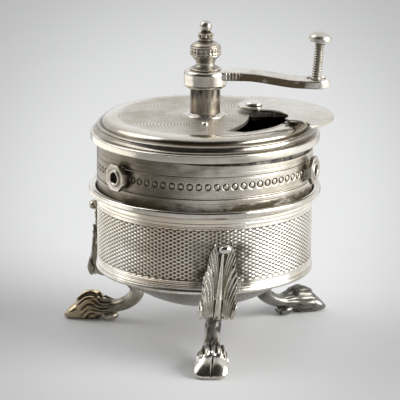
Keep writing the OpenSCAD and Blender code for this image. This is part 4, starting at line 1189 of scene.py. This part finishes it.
def bed_grid():
    """The dark ground of the leaf, seen in the furrows."""
    z = np.linspace(*LEAF_Z, 90)[:, None]
    y = glide(z, *BED_HALF_W) * np.linspace(-1, 1, 41)[None, :]
    return backed(np.sqrt(DRUM_R ** 2 - y ** 2) + glide(z, *LEAF_CREST) - 1.9, y, z)


def rib_grid():
    """The midrib, which widens downwards: a ridge of 1 - (y / half width)^2."""
    z = np.linspace(*LEAF_Z, 90)[:, None]
    u = np.linspace(-1, 1, 33)[None, :]
    y = np.interp(z, LEAF_Z, (0.88, 0.3)) * u
    return backed(np.sqrt(DRUM_R ** 2 - y ** 2) + glide(z, *LEAF_CREST) - 0.35 * u ** 2, y, z)


def leaflet_grid(side, feet, tips, tops, foot, veins, ragged, thickness):
    """A blade of veins that fan out from a rounded foot. Each one bends outwards with a power of the way along it,
    and a wave across the veins gives the ridges. Between the ridges the veins are shorter, which makes the spikes."""
    along = np.linspace(0, 1, 100)[:, None]
    u = np.linspace(0, 1, 91)[None, :]
    start, end, top = (glide(u, (0, 0.5, 1), values) for values in (feet, tips, tops))
    ridges = 0.5 - 0.5 * np.cos(TURN * veins * u)
    low = foot + 0.9 * (2 * u - 1) ** 2
    z = low + (top - ragged * (1 - ridges) - low) * along
    y = side * (start + (end - start) * along ** (4 - 2.4 * u))
    droop = 0.9 * u ** 2 + 0.3 * (1 - u) ** 4 + 0.35 * ease(along, 0.8, 1) ** 2
    relief = 0.34 * (ridges - 1) * ease(along, 0.02, 0.2) - droop
    return backed(np.sqrt(DRUM_R ** 2 - y ** 2) + glide(z, *thickness) + relief, y, z)


def curl_grid(centre, halves, lean, point):
    """A curled tip: a bean with a spiral groove, an ellipsoid whose radius dips along a spiral. It leans sideways
    and narrows to a point with height."""
    a = np.linspace(0, np.pi, 40)[:, None]
    b = angles(72)
    radius = 1 - 0.16 * bell((b + 3 * a) % TURN, np.pi, 0.5)
    x, y, z = radius * np.sin(a) * np.cos(b), np.cos(a), radius * np.sin(a) * np.sin(b)
    grid = points_of(x, y, z) * halves
    grid[..., :2] *= 1 - point * ease(z, -0.2, 1)[..., None]
    grid[..., 1] += lean * grid[..., 2]
    return grid + np.asarray(centre)


CURLS = [
    # centre, half sizes, sideways lean, how far it narrows upwards
    ((33.9, 0.4, 33.9), (1.35, 1.7, 1.35), 0.0, 0.0),
    ((33.1, 4.5, 16.9), (1.0, 0.75, 2.95), 0.22, 0.85),
    ((33.1, -4.7, 16.9), (1.0, 0.75, 2.95), -0.1, 0.85),
]
HEEL_TUFT = ((29.4, 0.0, 1.75), (2.9, 2.7, 1.7), 0.0, 0.0)
blades = [rib_grid()] + [leaflet_grid(side, *leaflet) for leaflet in LEAFLETS for side in (-1, 1)]
print("leaf of", len(blades), "blades and", len(CURLS), "curls")

# %% Shank and hoof
SHANK = np.array([
    # distance from the drum's face, height, half thickness, half width
    (1.4, 18.6, 1.2, 1.6), (0.6, 16.6, 2.1, 2.4), (-1.2, 15.2, 2.3, 2.5), (-4.0, 14.1, 2.1, 2.4),
    (-7.2, 12.9, 1.9, 2.25), (-9.4, 10.8, 2.1, 2.2), (-8.7, 8.2, 2.1, 2.2), (-6.0, 5.9, 1.95, 2.2),
    (-2.6, 4.5, 1.9, 2.4), (1.0, 4.1, 2.6, 3.1), (3.4, 4.1, 3.5, 3.7), (5.6, 3.6, 3.5, 4.2), (7.6, 2.7, 2.9, 4.5),
    (9.6, 1.9, 2.2, 4.8), (11.4, 1.1, 1.25, 4.2), (12.3, 0.7, 0.6, 2.6), (12.5, 0.6, 0.1, 0.5)])
# Rows between which there is hair, and the row where the hoof starts
HAIR = (7.8, 11.6)
HOOF_FROM = 11.6


def shank_grid(hair, swirl):
    """A tube of ovals across a smooth path. Locks of hair are waves round the tube that swirl with the path, and the
    cleft of the hoof is a narrow dip along its top. Both hold dirt, which is given too."""
    t = np.linspace(0, len(SHANK) - 1, 200)
    at = np.arange(len(SHANK))
    across, up, half_t, half_w = (glide(t, at, SHANK[:, k])[:, None] for k in range(4))
    run, climb = np.gradient(across, axis=0), np.gradient(up, axis=0)
    length = np.hypot(run, climb)
    a = angles(160)
    t = t[:, None]
    strands = np.cos(15 * a + swirl * np.sin(2.0 * t))
    locks = 0.6 * strands + 0.4 * np.cos(8 * a - 2.6 * t)
    ends = HAIR[1] + 0.2 * strands
    hairy = hair * ease(t, HAIR[0], HAIR[0] + 0.8) * (1 - ease(t, ends - 0.15, ends + 0.1))
    overhang = 0.10 * ease(t, HAIR[0] + 1, HAIR[1] - 0.3) * (1 - ease(t, ends - 0.1, ends + 0.15))
    hoof = ease(t, HOOF_FROM, HOOF_FROM + 0.5)
    cleft = hoof * bell(np.sin(a), 0, 0.05) * (np.cos(a) > 0)
    size = 1 + hairy * locks * 0.13 + overhang - 0.14 * cleft
    dirt = 1.6 * hoof * bell(np.sin(a), 0, 0.09) * (np.cos(a) > 0) + 0.75 * hairy * np.maximum(-locks, 0)
    thick, wide = half_t * size, half_w * (1 + hairy * locks * 0.04 + overhang * 0.3)
    sideways = np.sign(np.sin(a)) * np.abs(np.sin(a)) ** (1 - 0.45 * hoof * ease(-np.cos(a), -0.3, 0.4))
    x = DRUM_R + across - climb / length * thick * np.cos(a)
    z = up + run / length * thick * np.cos(a)
    grid = points_of(x, wide * sideways, np.maximum(z, 0))
    return np.concatenate([cap(grid[0]), grid, cap(grid[-1])]), np.pad(dirt, ((1, 1), (0, 0)))


print("shank through", len(SHANK), "ovals")

# %% Legs
LEG_SEAT = (32.75, 0, 0)
BASE_FACE, BASE_TOP = 30.44, 22.05
LEGS = [
    # node, turn, lean, twist, share of hair and its swirl, finish
    ("leg_front", -90, 7.3, 6.3, (1.25, 0.5), cast_silver),
    ("leg_right", 30, 0, 0, (0.6, 1.5), old_cast_silver),
    ("leg_left", 150, 0, 0, (1.6, 2.6), gilt_silver),
]


def askew(grid, lean, twist):
    """Leans a leg sideways, by tan(lean) for each mm above or below the base ring, then turns it about its seat.
    Above the base, points inside the ring or the drum are moved out to its face."""
    moved = grid.copy()
    moved[..., 1] += np.tan(np.radians(lean)) * (grid[..., 2] - BASE_Z)
    moved = spin(moved - LEG_SEAT, -twist) + LEG_SEAT
    face = np.where(moved[..., 2] < BASE_TOP, BASE_FACE, DRUM_R + 0.03)
    r = np.hypot(moved[..., 0], moved[..., 1])
    moved[..., :2] *= np.where(moved[..., 2] > BASE_Z - 0.05, np.maximum(face / r, 1), 1)[..., None]
    return moved


def upright(grid, lean):
    """Takes a third of the lean back from a leaf, which stands straighter than its leg."""
    moved = grid.copy()
    moved[..., 1] -= np.tan(np.radians(lean / 3)) * (grid[..., 2] - LEAF_Z[0])
    return moved


for node, degrees, lean, twist, hair, material in LEGS:
    tube, tube_dirt = shank_grid(*hair)
    # Each part's grid, the depth of its hollows and its dirt
    parts = [(upright(bed_grid(), lean), 0.16, 0.9), (tube, 0.2, tube_dirt), (curl_grid(*HEEL_TUFT), 0.14, 0.25)]
    parts += [(upright(grid, lean), 0.26, -0.1) for grid in blades + [curl_grid(*curl) for curl in CURLS]]
    piece(node, "cast", "receiver", material,
          [shell(spin(askew(grid, lean, twist), degrees), (False, True), (3, 3), depth, dirt)
           for grid, depth, dirt in parts], crease=60)
